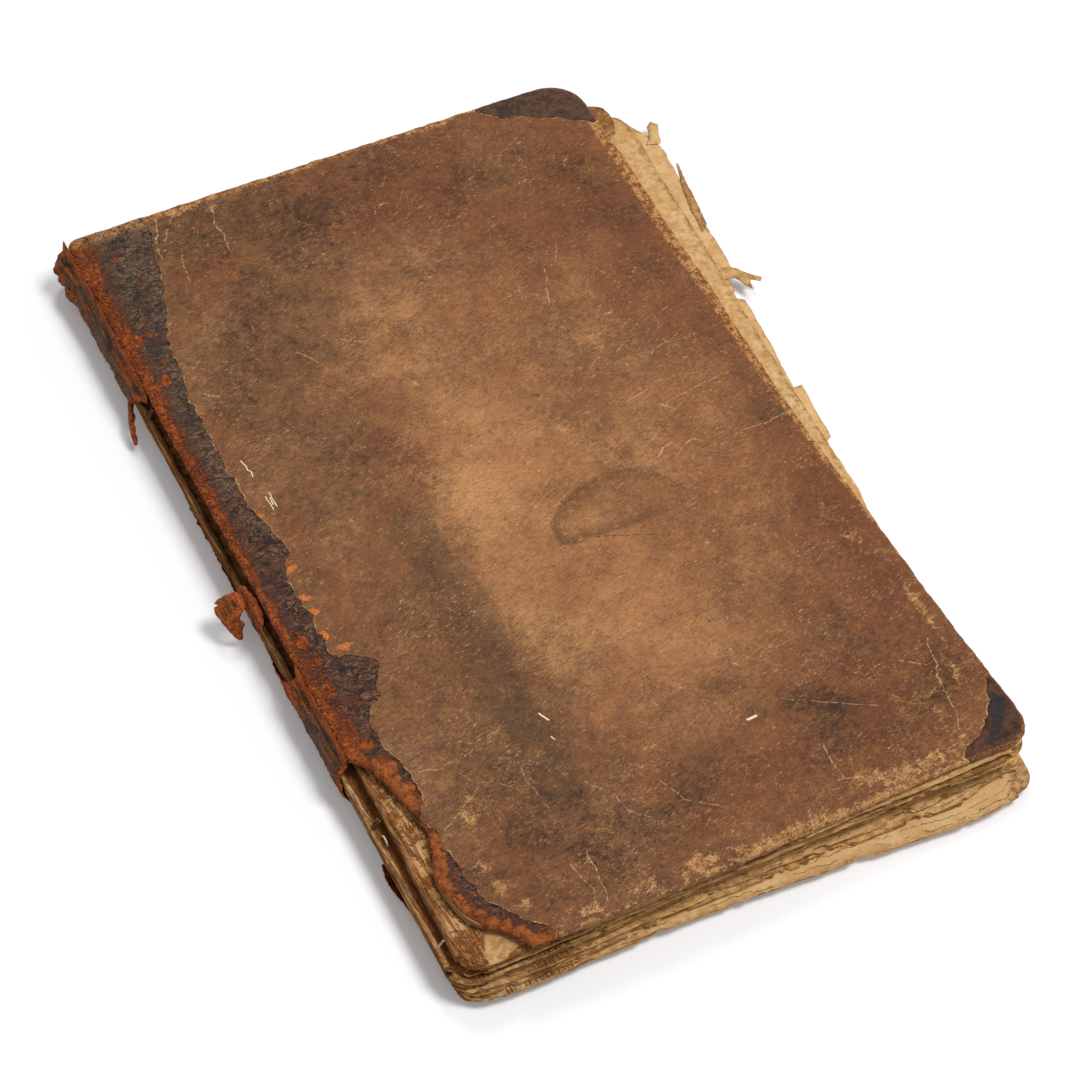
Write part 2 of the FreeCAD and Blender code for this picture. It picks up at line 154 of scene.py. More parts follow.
def backdrop_ray(finish):
    """1 for rays from the camera or from a mirror-like or clear surface."""
    path = finish.node("LightPath").outputs
    return finish.either(path["Is Camera Ray"], path["Is Glossy Ray"], path["Is Transmission Ray"])


table_finish = Finish("white_table")
lift = table_finish.times(backdrop_ray(table_finish), FLOOR_LIFT)
table_finish.join(table_finish.surface.inputs["Emission Strength"], lift)
table_finish.surface.inputs["Emission Color"].default_value = (1, 1, 1, 1)
table_finish.done(tint(238, 238, 240), 0.9, specular=0.1)
table_mesh = bpy.data.meshes.new("table")
table_corners = [(x, y, 0) for x, y in ((-1, -1), (1, -1), (1, 1), (-1, 1))]
table_mesh.from_pydata([Vector(c) * FLOOR_HALF for c in table_corners], [], [(0, 1, 2, 3)])
table_mesh.materials.append(table_finish.material)
table = bpy.data.objects.new("table", table_mesh)
bpy.context.scene.collection.objects.link(table)

for number, (place, size, watts) in enumerate(LAMPS):
    lamp_light = bpy.data.lights.new(f"lamp_{number}", "AREA")
    lamp_light.shape = "DISK"
    lamp_light.size = size
    lamp_light.energy = watts
    lamp = bpy.data.objects.new(f"lamp_{number}", lamp_light)
    lamp.location = place
    lamp.rotation_euler = (-Vector(place)).to_track_quat("-Z", "Y").to_euler()
    bpy.context.scene.collection.objects.link(lamp)

room = bpy.data.worlds.new("room")
room.use_nodes = True
room_colour = room.node_tree.nodes["Background"]
room_colour.inputs["Color"].default_value = (1, 1, 1, 1)
room_colour.inputs["Strength"].default_value = ROOM_STRENGTH
bpy.context.scene.world = room

view = bpy.data.cameras.new("view")
view.sensor_width = 36.0
view.lens = LENS
camera = bpy.data.objects.new("camera", view)
camera_turn = Matrix((CAMERA_RIGHT, CAMERA_UP, CAMERA_RIGHT.cross(CAMERA_UP))).transposed()
camera.matrix_world = Matrix.Translation(CAMERA_PLACE) @ camera_turn.to_4x4()
bpy.context.scene.collection.objects.link(camera)
bpy.context.scene.camera = camera
bpy.context.scene.view_settings.view_transform = "Standard"

# ---------------------------------------------------------------------------------------
# The text block: nine gatherings of rag paper, each folded at the spine and shown as thin
# stacks of leaves. The lowest have fanned out past the covers and their edges have torn.
# Places are in millimetres from the book's tail-spine corner, X to the fore edge, Y to the head.
# ---------------------------------------------------------------------------------------
BOOK_CORNER = np.array((-102.0, -167.0, 0.0))
BLOCK_BOTTOM, BLOCK_TOP = 3.3, 17.7
LEAF_TAIL, LEAF_HEAD, LEAF_FORE = 2.0, 332.0, 202.5
SPINE_ROUND = 3.0
FOLD_INSET = 0.4
FAN_PIVOT = 20.0
FAN_DEGREES = (3.5, 3.4, 3.1, 0.7, 0.5, 0.6, 1.2, 1.5, 1.0)
# The tail edge of the lowest leaves, which have slid out past the back cover
LOWEST_TAIL = ((1.2, 3.0), (4.0, -1.4), (10, -3.4), (23, -4.4), (44, -4.4), (80, -4.8), (114, -6.6), (150, -9.3),
               (168, -11.6), (182, -11.9), (196, -9.6))
# How far back towards a square tail edge each gathering lies, at the spine and at the fore edge,
# and how much is worn off it there
TAIL_SHARE = ((0.0, 0.0), (0.16, 0.56), (0.3, 0.72), (0.52, 0.88), (0.62, 1.0), (0.8, 1.0), (0.86, 1.0), (1.0, 1.0),
              (0.85, 1.0))
TAIL_WORN = (0.0, 0.3, 0.4, 1.3, 0.2, 1.5, 0.4, 1.3, 0.5)
# Where the fore edge of the upper leaves is worn back to, level with the cover, as pairs of Y and X
FORE_WORN = ((20, 203.4), (60, 202.2), (100, 200.6), (140, 199.4), (180, 199.7), (220, 201.4), (250, 201.8),
             (290, 203.2), (320, 203.8))
FANNED = 3
SEWN = 6
LOOSE_SETBACK = 1.0
LAYERS = 4
LAYER_THICKNESS = 0.24
LAYER_STEP = 0.27
LEAF_SPACING = 0.9
INNER_SPACING = 7.0
CLOSE_SPACING = 2.2
FOLD_WIDTH = 1.9
FOLD_THICKNESS = 0.22
SLIVER_THICKNESS = 0.2
PAPER_CREAM = tint(202, 160, 106)
PAPER_PALE = tint(220, 184, 132)
PAPER_TAN = tint(164, 114, 62)
PAPER_BROWN = tint(124, 76, 40)
PAPER_DIRT = tint(44, 26, 14)


def rough(x, y, size, seed, octaves=3):
    """Noise at many points at once, about -1 to 1, with features of size millimetres."""
    return np.array([noise.fractal((a, b, seed), 1.0, 2.0, octaves) for a, b in zip(x / size, y / size)])


def evenly(points, spacing, closed=True):
    """The same line with evenly spaced points."""
    points = np.asarray(points, float)
    if closed:
        points = np.vstack([points, points[:1]])
    along = np.concatenate([[0.0], np.cumsum(np.hypot(*np.diff(points, axis=0).T))])
    count = max(4, int(along[-1] / spacing))
    at = np.linspace(0, along[-1], count, endpoint=not closed)
    return np.column_stack([np.interp(at, along, points[:, 0]), np.interp(at, along, points[:, 1])])


def frayed(loop, depth, size, seed):
    """A closed line pushed in and out along its normals."""
    ahead, behind = np.roll(loop, -1, axis=0), np.roll(loop, 1, axis=0)
    run = ahead - behind
    normal = np.column_stack([run[:, 1], -run[:, 0]])
    normal /= np.maximum(np.hypot(*normal.T), 1e-9)[:, None]
    return loop + normal * (depth * rough(loop[:, 0], loop[:, 1], size, seed))[:, None]


def chipped(loop, depth, size, seed):
    """A closed line from which small pieces have broken: each bite has a steep edge."""
    bite = rough(loop[:, 0], loop[:, 1], size, seed, 2) + 0.25 * rough(loop[:, 0], loop[:, 1], size / 6, seed + 31.0, 2)
    bite = np.clip((bite - 0.02) / 0.07, 0, 1) + 0.8 * np.clip((bite - 0.3) / 0.05, 0, 1)
    run = np.roll(loop, -1, axis=0) - np.roll(loop, 1, axis=0)
    normal = np.column_stack([run[:, 1], -run[:, 0]]) / np.maximum(np.hypot(*run.T), 1e-9)[:, None]
    return loop - normal * (depth * bite)[:, None]


def enclosed(points, loop):
    """Which points lie inside a closed line."""
    start, end = np.asarray(loop, float), np.roll(np.asarray(loop, float), -1, axis=0)
    odd = np.zeros(len(points), bool)
    for a, b in zip(start, end):
        if a[1] != b[1]:
            beside = (a[1] > points[:, 1]) != (b[1] > points[:, 1])
            odd ^= beside & (points[:, 0] < a[0] + (points[:, 1] - a[1]) / (b[1] - a[1]) * (b[0] - a[0]))
    return odd


def within(loop, spacing, margin, seed):
    """Loose points on a staggered grid inside a closed line."""
    shuffle = np.random.default_rng(seed)
    start, end = loop, np.roll(loop, -1, axis=0)
    rows = []
    for row, y in enumerate(np.arange(loop[:, 1].min() + margin, loop[:, 1].max() - margin, spacing * 0.87)):
        crossed = (start[:, 1] > y) != (end[:, 1] > y)
        a, b = start[crossed], end[crossed]
        cuts = np.sort(a[:, 0] + (y - a[:, 1]) / (b[:, 1] - a[:, 1]) * (b[:, 0] - a[:, 0]))
        for low, high in zip(cuts[::2], cuts[1::2]):
            first = math.ceil((low + margin) / spacing) * spacing + (row % 2) * spacing / 2
            xs = np.arange(first, high - margin, spacing)
            rows.append(np.column_stack([xs, np.full(len(xs), y)]))
    inside = np.vstack(rows) if rows else np.zeros((0, 2))
    return inside + shuffle.uniform(-0.15, 0.15, inside.shape) * spacing


def from_line(points, line, closed=True):
    """How far each point lies from a line, in millimetres."""
    a = np.asarray(line, float)
    b = np.roll(a, -1, axis=0) if closed else a[1:]
    a = a if closed else a[:-1]
    least = np.full(len(points), 1e9)
    for start, end in zip(a, b):
        run = end - start
        share = np.clip((points - start) @ run / max(run @ run, 1e-9), 0, 1)
        off = points - start - share[:, None] * run
        least = np.minimum(least, np.einsum("ij,ij->i", off, off))
    return np.sqrt(least)


def triangles(points, edges):
    """Triangles inside the edges: their corners, and for each corner the point that it was."""
    made = geometry.delaunay_2d_cdt([Vector(p) for p in points], edges, [], 1, 1e-6)
    corners = np.array([tuple(v) for v in made[0]])
    was = np.array([first[0] if first else -1 for first in made[3]])
    return corners, np.array(made[2]), was


def rim_edges(faces):
    """The directed edges that only one triangle has."""
    directed = np.vstack([faces[:, (0, 1)], faces[:, (1, 2)], faces[:, (2, 0)]])
    known = {tuple(edge) for edge in directed.tolist()}
    return np.array([edge for edge in directed.tolist() if (edge[1], edge[0]) not in known])


def slab(loop, inside, top_height, thickness):
    """A thin sheet: its two faces and the wall between them."""
    count = len(loop)
    corners, faces, _ = triangles(np.vstack([loop, inside]), [(i, (i + 1) % count) for i in range(count)])
    height = top_height(corners[:, 0], corners[:, 1])
    deep = from_line(corners, loop[::3])
    deep[np.unique(rim_edges(faces))] = 0.0
    top = np.column_stack([corners, height])
    bottom = np.column_stack([corners, height - thickness])
    walls = []
    for a, b in rim_edges(faces):
        walls += [(b, a, a + len(top)), (b, a + len(top), b + len(top))]
    return np.vstack([top, bottom]), np.vstack([faces, faces[:, ::-1] + len(top), walls]), np.tile(deep, 2)


class Heap:
    """Meshes gathered into one piece, with the values that their points carry."""

    def __init__(self):
        self.points, self.faces, self.marks, self.count = [], [], {}, 0

    def add(self, points, faces, **marks):
        self.points.append(points)
        self.faces.append(np.asarray(faces) + self.count)
        self.count += len(points)
        for name, values in marks.items():
            self.marks.setdefault(name, []).append(np.broadcast_to(values, len(points)))

    def piece(self, name, finish, slot, smooth=True):
        """The object, moved from the book's corner to the frame's origin and made metres."""
        mesh = bpy.data.meshes.new(name)
        placed = (np.vstack(self.points) + BOOK_CORNER) * MM
        mesh.from_pydata(placed.tolist(), [], np.vstack(self.faces).tolist())
        for mark, values in self.marks.items():
            layer = mesh.attributes.new(mark, "FLOAT", "POINT")
            layer.data.foreach_set("value", np.concatenate(values).astype(np.float32))
        mesh.polygons.foreach_set("use_smooth", [smooth] * len(mesh.polygons))
        mesh.materials.append(finish)
        made = bpy.data.objects.new(name, mesh)
        bpy.context.scene.collection.objects.link(made)
        return made


def spine_x(level, offset):
    """Where the rounded spine lies at one level."""
    half, middle = (BLOCK_TOP - BLOCK_BOTTOM) / 2, (BLOCK_TOP + BLOCK_BOTTOM) / 2
    radius = (half ** 2 + SPINE_ROUND ** 2) / (2 * SPINE_ROUND)
    return offset + radius - SPINE_ROUND - np.sqrt(radius ** 2 - (level - middle) ** 2)


def fanned(x, y, degrees):
    """A point of a square leaf after the leaf has turned clockwise about its pivot."""
    turn = math.radians(degrees)
    x, y = x - FAN_PIVOT, y - LEAF_TAIL
    return (FAN_PIVOT + x * math.cos(turn) + y * math.sin(turn),
            LEAF_TAIL - x * math.sin(turn) + y * math.cos(turn))


def smooth_line(points, rounds=2):
    """An open line with its corners cut off, again and again."""
    points = np.asarray(points, float)
    for _ in range(rounds):
        ahead = points[:-1] * 0.75 + points[1:] * 0.25
        behind = points[:-1] * 0.25 + points[1:] * 0.75
        points = np.vstack([points[:1], np.stack([ahead, behind], 1).reshape(-1, 2), points[-1:]])
    return points


def rounded(corner, towards, along, radius):
    """Points round a corner that lies between two directions."""
    corner, towards, along = (np.array(v, float) for v in (corner, towards, along))
    start, end = corner + towards * radius, corner + along * radius
    shares = np.linspace(0, 1, 7)[:, None]
    return (1 - shares) ** 2 * start + 2 * shares * (1 - shares) * corner + shares ** 2 * end


def leaf_outline(fold, degrees, shares, loose, worn, upper):
    """The outline of one leaf, anticlockwise, before its edges are frayed."""
    fore_tail = fanned(LEAF_FORE, LEAF_TAIL, degrees)
    fore_head = fanned(LEAF_FORE, LEAF_HEAD, degrees)
    if loose:
        fore_tail, fore_head = (LEAF_FORE, LEAF_TAIL), (LEAF_FORE, LEAF_HEAD)
    tail = smooth_line(LOWEST_TAIL)
    back = np.interp(tail[:, 0], (0.0, LEAF_FORE), shares)
    square = LEAF_TAIL + worn + 7.0 * np.clip(1 - tail[:, 0] / 8.0, 0, 1) ** 2
    tail = np.column_stack([tail[:, 0] + fold - LOWEST_TAIL[0][0], (1 - back) * tail[:, 1] + back * square])
    fore_corner = np.array((fore_tail[0], tail[-1, 1] + 5.0))
    lines = [
        tail,
        rounded(fore_corner - (0, 4.0), (-1, 0), (0, 1), 8.0),
        rounded(fore_head, (0, -1), (-1, 0), 8.0),
        rounded((fold, LEAF_HEAD), (1, 0), (0, -1), 1.5),
    ]
    outline = np.vstack(lines)
    if loose:
        turn = math.radians(-degrees)
        about = np.array((fold, LEAF_TAIL))
        spin = np.array(((math.cos(turn), -math.sin(turn)), (math.sin(turn), math.cos(turn))))
        outline = (outline - about) @ spin.T + about
    if upper:
        outline = evenly(outline, LEAF_SPACING)
        outline[:, 0] = np.minimum(outline[:, 0], np.interp(outline[:, 1], *np.transpose(FORE_WORN)))
    return outline


def sag(x, y, level):
    """How the leaves lie: gently wavy inside, lower where nothing carries them past the covers."""
    wave = 0.22 * rough(x, y, 70.0, 4.0, 2) * math.sin(math.pi * (level - BLOCK_BOTTOM) / (BLOCK_TOP - BLOCK_BOTTOM))
    past = np.clip(np.maximum(x - 204.0, -y - 1.0), 0, None)
    return wave - 0.055 * past * (level / 10.0) ** 0.5


paper = Finish("rag_paper_leaves")
depth_in, layer_tone, flaky = paper.mark("deep"), paper.mark("tone"), paper.mark("flaky")
mottle = paper.clouds(9.0, 5.0, 0.6)
small = paper.clouds(2.6, 5.0, 0.68)
fine = paper.clouds(0.8, 4.0, 0.65)
leaf_lines = paper.clouds(0.24, 3.0, 0.6, at=paper.placed(stretch=(0.02, 0.02, 1.0)))
face_colour = paper.mix(paper.step(mottle, 0.3, 0.7), PAPER_CREAM, PAPER_PALE)
browning = paper.calc("SUBTRACT", depth_in, paper.step(small, 0.3, 0.75, 0.0, 3.0))
face_colour = paper.mix(paper.step(browning, -2.5, 1.0, 0.6, 0.0), face_colour, PAPER_TAN)
step_place = paper.calc("ADD", depth_in, paper.calc("MULTIPLY", mottle, 7.0))
split = paper.step(paper.calc("PINGPONG", step_place, 1.3), 0.0, 0.13, 1.0, 0.0)
at_tail = paper.step(paper.node("SeparateXYZ", {0: paper.here}).outputs[1], -0.14, -0.16)
split = paper.times(split, at_tail, paper.step(depth_in, 4.5, 7.5, 1.0, 0.0), paper.step(paper.clouds(7.0, 2.0, 0.5), 0.47, 0.56))
face_colour = paper.mix(paper.times(split, 0.8), face_colour, tint(84, 50, 24))
face_colour = paper.mix(paper.times(paper.step(paper.clouds(3.2, 2.0, 0.5), 0.66, 0.78), 0.35), face_colour, PAPER_TAN)
face_colour = paper.mix(paper.step(fine, 0.35, 0.7, 0.0, 0.22), face_colour, PAPER_TAN)
# Painted shade: on the inner gatherings the leaves' faces go dark brown a little way in from their edges, standing in
# for the shade in the gaps between the leaves.
gap_shade_share = paper.times(paper.mark("hidden"), paper.step(depth_in, 0.6, 1.8), 0.92)
face_colour = paper.mix(gap_shade_share, face_colour, tint(52, 31, 17))
on_edge = paper.step(depth_in, 0.05, 0.4, 1.0, 0.0)
flaky = paper.times(flaky, paper.step(on_edge, 0.6, 0.1))
edge_colour = paper.mix(paper.step(leaf_lines, 0.4, 0.55), tint(134, 88, 46), tint(222, 174, 110))
edge_colour = paper.mix(paper.step(small, 0.5, 0.75, 0.0, 0.6), edge_colour, PAPER_TAN)
paper_colour = paper.mix(on_edge, face_colour, edge_colour)
dull = paper.calc("ADD", layer_tone, paper.step(small, 0.3, 0.7, -0.22, 0.22))
paper_colour = paper.mix(paper.step(dull, 0.0, 1.0), paper_colour, PAPER_BROWN)
paper_colour = paper.mix(paper.step(dull, 0.9, 1.5), paper_colour, PAPER_DIRT)
flake = paper.calc("ADD", paper.calc("MULTIPLY", mottle, 0.35), paper.calc("MULTIPLY", small, 0.6))
flake = paper.calc("ADD", flake, paper.calc("MULTIPLY", fine, 0.3))
bared = paper.times(flaky, paper.step(flake, 0.57, 0.62, 1.0, 0.0))
bared_colour = paper.mix(paper.step(fine, 0.4, 0.65), tint(112, 66, 36), tint(158, 104, 60))
paper_colour = paper.mix(bared, paper_colour, bared_colour)
torn_lines = paper.clouds(0.7, 3.0, 0.7, at=paper.placed(stretch=(1.0, 0.05, 1.0), degrees=-2.5), warp=0.5)
torn_lines = paper.times(paper.step(flaky, 0.1, 0.4), paper.step(torn_lines, 0.5, 0.43))
paper_colour = paper.mix(paper.times(torn_lines, 0.75), paper_colour, tint(84, 48, 26))
paper_colour = paper.mix(paper.times(flaky, 0.34), paper_colour, tint(178, 106, 50))
spots = paper.times(paper.step(fine, 0.66, 0.72), paper.step(mottle, 0.48, 0.62))
paper_colour = paper.mix(paper.times(spots, 0.7), paper_colour, PAPER_DIRT)
paper_relief = paper.bump(leaf_lines, 0.12, paper.bump(fine, 0.1, paper.bump(mottle, 0.3)))
paper_relief = paper.bump(torn_lines, -0.5, paper.bump(split, -0.4, paper.bump(bared, -0.35, paper_relief)))
leaf_paper = paper.done(paper_colour, 0.9, paper_relief, specular=0.06)
# The pale stiff corner of the uppermost leaves that shows beside the broken cover
PALE_CORNER = ((9.0, 8.4), (14.0, 13.8), (25.6, 8.0), (21, -4), (8, -4))
# The brown, torn end of the lowest leaf
BROWN_END = ((195.5, 0.5), (193.5, -6.0), (189.0, -11.4), (192, -16), (212, -10), (208, 3))
# How brown the edges of each gathering are, from the lowest up
GATHERING_TONES = (0.0, 0.1, -0.05, 0.3, 0.0, 0.28, 0.05, 0.4, 0.1)

def seen_close(points, index):
    """Where the leaves' faces show: beside the broken cover, and at the lowest leaf's torn end."""
    x, y = points.T
    return (x < 44) & (y < 100) if index > 4 else (x > 184) & (y < 10) & (index == 0)


leaf_shuffle = np.random.default_rng(11)
gatherings = []
for index, degrees in enumerate(FAN_DEGREES):
    heap = Heap()
    pitch = (BLOCK_TOP - BLOCK_BOTTOM) / len(FAN_DEGREES)
    loose = index >= SEWN
    middle = BLOCK_BOTTOM + (index + 0.5) * pitch
    fold = LOOSE_SETBACK if loose else spine_x(middle, FOLD_INSET)
    following = FAN_DEGREES[min(index + 1, len(FAN_DEGREES) - 1)]
    seed = 3.7 * index
    for layer in range(LAYERS):
        level = middle + (layer - (LAYERS - 1) / 2) * LAYER_STEP + LAYER_THICKNESS / 2
        back = 0.6 * ((layer - (LAYERS - 1) / 2) / (LAYERS / 2)) ** 2
        turn = degrees if index >= FANNED - 1 else degrees + 0.35 * (following - degrees) * layer / LAYERS
        worn = TAIL_WORN[index] + leaf_shuffle.uniform(-0.3, 0.6)
        loop = evenly(leaf_outline(fold + back, turn, TAIL_SHARE[index], loose, worn, index >= FANNED), LEAF_SPACING)
        loop = frayed(loop, 0.7, 28.0, seed)
        at_tail = np.clip((20.0 - loop[:, 1]) / 8.0, 0, 1)
        loop = chipped(loop, (0.45 + 0.75 * at_tail) * (0.5 if index == 0 else 1.0), 20.0, seed + 0.3 * layer + 50.0)
        loop = frayed(loop, 0.16, 1.7, seed + layer + 80.0)
        loop[:, 0] = np.maximum(loop[:, 0], fold + back)
        coarse, close = within(loop, INNER_SPACING, 2.4, index), within(loop, CLOSE_SPACING, 1.2, index)
        inside = np.vstack([coarse[~seen_close(coarse, index)], close[seen_close(close, index)]])
        curl = leaf_shuffle.uniform(-0.12, 0.12)
        droop = 0.12 * (LAYERS - 1 - layer) / LAYERS

        def leaf_height(x, y):
            return level + sag(x, y, level) + curl * rough(x, y, 30.0, seed, 2) - droop * rough(x, y, 12.0, seed, 2)

        points, faces, deep = slab(loop, inside, leaf_height, LAYER_THICKNESS)
        flaked = np.clip((42.0 - points[:, 0]) / 10.0, 0, 1) * np.clip((96.0 - points[:, 1]) / 10.0, 0, 1)
        flaked *= ~enclosed(points[:, :2], PALE_CORNER)
        dusty = np.exp(-((points[:, 0] - fold) / 5.0) ** 2) * np.clip((points[:, 1] - 80.0) / 20.0, 0, 1)
        browner = 0.32 * np.clip((120 - points[:, 0]) / 90, 0, 1) * (points[:, 1] < 14)
        # The inner gatherings carry the painted shade of the gaps between them; the three lowest and the uppermost do
        # not.
        heap.add(points, faces, deep=deep, flaky=flaked * (0.6 + 0.4 * (index > 4)), hidden=FANNED <= index < 8,
                 tone=leaf_shuffle.choice((0.0, 0.04, 0.1, 0.2, 0.3)) + 1.2 * dusty + browner
                 + 0.5 * (enclosed(points[:, :2], BROWN_END) & (index == 0)) + GATHERING_TONES[index])
    gatherings.append((heap, index, middle, fold, loose))


def fold_strip(middle, fold, low, high, half, seed):
    """The folded back of a gathering: a half-round strip of paper with worn ends."""
    stations = np.arange(low, high, 1.5)
    turns = np.radians(np.linspace(-90, 90, 9))
    outer = np.column_stack([-half * np.cos(turns), half * np.sin(turns)])
    inner = outer * (half - FOLD_THICKNESS) / half
    wing = np.array([[FOLD_WIDTH - half, 0.0]])
    section = np.vstack([outer[:1] + wing, outer, outer[-1:] + wing, inner[-1:] + wing, inner[::-1], inner[:1] + wing])
    worn = rough(stations, np.full(len(stations), seed), 14.0, seed)
    rings = []
    for y, wear in zip(stations, worn):
        swell = np.where(section[:, 0] < 0, 1.0 + 0.35 * wear, 1.0)
        x = fold + half + section[:, 0] * swell + 0.5 * wear
        z = middle + section[:, 1] + 0.15 * wear
        rings.append(np.column_stack([x, np.full(len(x), y), z]))
    wide = len(section)
    faces = []
    for ring in range(len(stations) - 1):
        for spot in range(wide):
            a, b = ring * wide + spot, ring * wide + (spot + 1) % wide
            faces += [(a, a + wide, b), (b, a + wide, b + wide)]
    ends = [(0, i, i + 1) for i in range(1, wide - 1)]
    last = (len(stations) - 1) * wide
    faces += [(a, b, c) for a, b, c in ends] + [(last + a, last + c, last + b) for a, b, c in ends]
    return np.vstack(rings), faces


FOLD_TONES = (0.5, 0.3, 0.6, 0.3, 0.55, 0.3, 0.65, 0.45, 0.6)
for heap, index, middle, fold, loose in gatherings:
    half = 0.78 if index % 2 else 0.62
    points, faces = fold_strip(middle, fold - 0.15, LEAF_TAIL + 6.0, LEAF_HEAD - 1.5, half, 7.0 * index)
    if loose:
        turn = math.radians(-FAN_DEGREES[index])
        about = np.array((fold, LEAF_TAIL, 0.0))
        spin = np.array(((math.cos(turn), -math.sin(turn), 0), (math.sin(turn), math.cos(turn), 0), (0, 0, 1)))
        points = (points - about) @ spin.T + about
    folded_tone = FOLD_TONES[index] + 0.12 * rough(points[:, 1], points[:, 2], 12.0, 5.0)
    heap.add(points, faces, deep=3.0, flaky=0.55, hidden=0.0, tone=folded_tone + 0.3 * (points[:, 1] > 90))
    made = heap.piece(f"gathering_{index + 1}", leaf_paper, "leaf_paper")
    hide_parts("text_block")
    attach(made, "block")

# What stands out from the fore edge of the leaves, thin as paper: how high, how brown, how much its
# end lifts, and its outline. First the lowest leaf's outer strips, then a torn sliver, a twisted
# strip with two ends, a stub at the head, and the browned flyleaf that curls below the cover.
FORE_STRIPS = (
    (4.75, 0.12, 0.0, ((212, 300), (216.0, 315.5), (218.5, 318.1), (221.5, 314.9), (223.9, 310.6), (225.5, 307.2),
                       (227.2, 303.4), (227.3, 297.0), (226.4, 289.0), (225.1, 279.0), (224.4, 268.0), (223.2, 258.4),
                       (222.6, 243.1), (221.5, 234.3), (217.6, 232.8), (216.8, 223.0), (213.0, 219.0), (208, 240))),
    (4.7, 0.06, 0.0, ((206, 214), (212, 219.4), (215.8, 219.3), (218.3, 217.7), (216.7, 197.0), (214.9, 184.5),
                      (213.7, 173.6), (213.2, 160.0), (211.8, 140.0), (211.2, 123.0), (208.8, 110.0), (200, 100))),
    (4.95, 0.0, 0.0, ((209, 174), (213.6, 172.9), (216.9, 173.0), (215.4, 161.0), (214.3, 147.0), (210.4, 145.6), (206, 160))),
    (5.0, 0.5, 0.0, ((228.4, 290.0), (229.0, 289.4), (227.3, 281.6), (225.6, 268.1), (223.8, 257.0), (220.4, 254.0),
                     (221.6, 266.0), (224.6, 279.0))),
    (5.1, 0.3, 0.006, ((211.5, 229.0), (212.5, 234.4), (220.6, 234.4), (223.2, 231.6), (225.3, 227.8), (228.9, 223.9),
                       (227.4, 222.3), (224.9, 225.0), (223.9, 223.9), (223.4, 220.5), (221.8, 223.6), (219.6, 228.6))),
    (5.2, 0.1, 0.02, ((222.6, 303.0), (224.6, 305.4), (226.2, 309.2), (227.0, 311.8), (229.6, 313.4), (231.4, 310.9), (229.7, 306.4),
                      (228.0, 301.6))),
    (12.4, 0.75, 0.02, ((205, 322.6), (208.0, 324.6), (210.8, 323.0), (212.7, 321.4), (213.3, 316.5), (212.8, 311.3),
                        (210.6, 306.8), (205, 308))),
)
strips = Heap()
for number, (level, brownness, lift, corners) in enumerate(FORE_STRIPS):
    loop = frayed(frayed(evenly(corners, 0.8), 0.3, 5.0, 90.0 + number), 0.18, 1.4, 60.0 + number)
    root = min(x for x, _ in corners)

    def strip_height(x, y):
        return level + lift * np.clip(x - root - 6.0, 0, None) ** 2 + 0.12 * rough(x, y, 6.0, 5.0)

    points, faces, deep = slab(loop, within(loop, 1.6, 0.6, number), strip_height, SLIVER_THICKNESS)
    strips.add(points, faces, deep=deep + 0.6, tone=brownness, flaky=0.0)
fore_strips = strips.piece("torn_fore_edge_strips", leaf_paper, "leaf_paper")
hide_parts("text_block")
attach(fore_strips, "block")

# ---------------------------------------------------------------------------------------
# The cords and the thread that the gatherings are sewn with: hemp cords let into saw cuts
# across the folds, linen kettle stitches, and a loose curl of thread near the tail.
# ---------------------------------------------------------------------------------------
def spun_finish(name, light, dark, size):
    """Twisted fibre, darker in the grooves of its twist."""
    spun = Finish(name)
    twist = spun.clouds(size, 3.0, 0.6, at=spun.placed(stretch=(1.0, 0.3, 1.0), degrees=35))
    colour = spun.mix(spun.step(twist, 0.4, 0.65), dark, light)
    return spun.done(colour, 0.9, spun.bump(twist, 0.2), specular=0.15)


CORD_FINISH = spun_finish("hemp_cord", tint(122, 88, 52), tint(54, 34, 20), 0.5)
THREAD_FINISH = spun_finish("linen_thread", tint(226, 214, 190), tint(150, 128, 96), 0.3)
for node_name, thread_finish in (("sewing_cords", CORD_FINISH), ("sewing_thread", THREAD_FINISH)):
    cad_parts[node_name].data.materials.clear()
    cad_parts[node_name].data.materials.append(thread_finish)

# ---------------------------------------------------------------------------------------
# What is left of the spine leather: a torn piece with a crumpled cap at the head, a fringe
# and a point of it lower down, a curled flap and a tab. It was pasted straight on the folds,
# so it bends round the spine, and at the joint it follows the front cover.
# ---------------------------------------------------------------------------------------
SPINE_SKIN = 0.7
PIECE_SPACING = 0.8
VIEW_LEFT = np.array((-0.8945, 0.4461, -0.0291))
VIEW_DOWN = np.array((-0.33595, -0.71369, -0.61464))
VIEW_NEAR = np.array((-0.29497, -0.54002, 0.78827))
HEAD_PIECE = ((333.2, 2.6), (334.6, 6.0), (333.6, 9.5), (335.0, 13.0), (333.8, 17.0), (334.2, 21.0), (318, 21.3),
              (290, 21.2), (262, 21.0), (256, 20.0), (252.5, 18.0), (258, 13.5), (262.5, 9.0), (266, 6.0), (272, 3.4),
              (290, 2.8), (312, 2.6))
CAP_LOBES = ((329.5, 6.0, 1.9, 2.6), (330.5, 11.6, 2.6, 2.4), (329.0, 17.2, 1.8, 2.3), (320.0, 9.0, 1.5, 3.2))
LOWER_PIECE = ((127, 20.8), (124, 17.0), (127, 12.0), (133, 8.0), (145, 5.6), (163, 5.2), (178, 5.6), (192, 5.0),
               (205, 5.4), (216, 4.6), (232, 3.2), (218, 2.4), (196, 2.6), (172, 2.3), (150, 2.5), (128, 2.2),
               (100, 2.1), (85, 1.6), (79.5, 2.6), (81.5, 7.0), (84, 12.5), (85.5, 20.6), (96, 21.2), (112, 21.0))
MIDDLE_PATCH = ((170, 13.6), (165, 17.4), (152, 17.6), (147, 15.0), (151, 12.4), (161, 12.0))
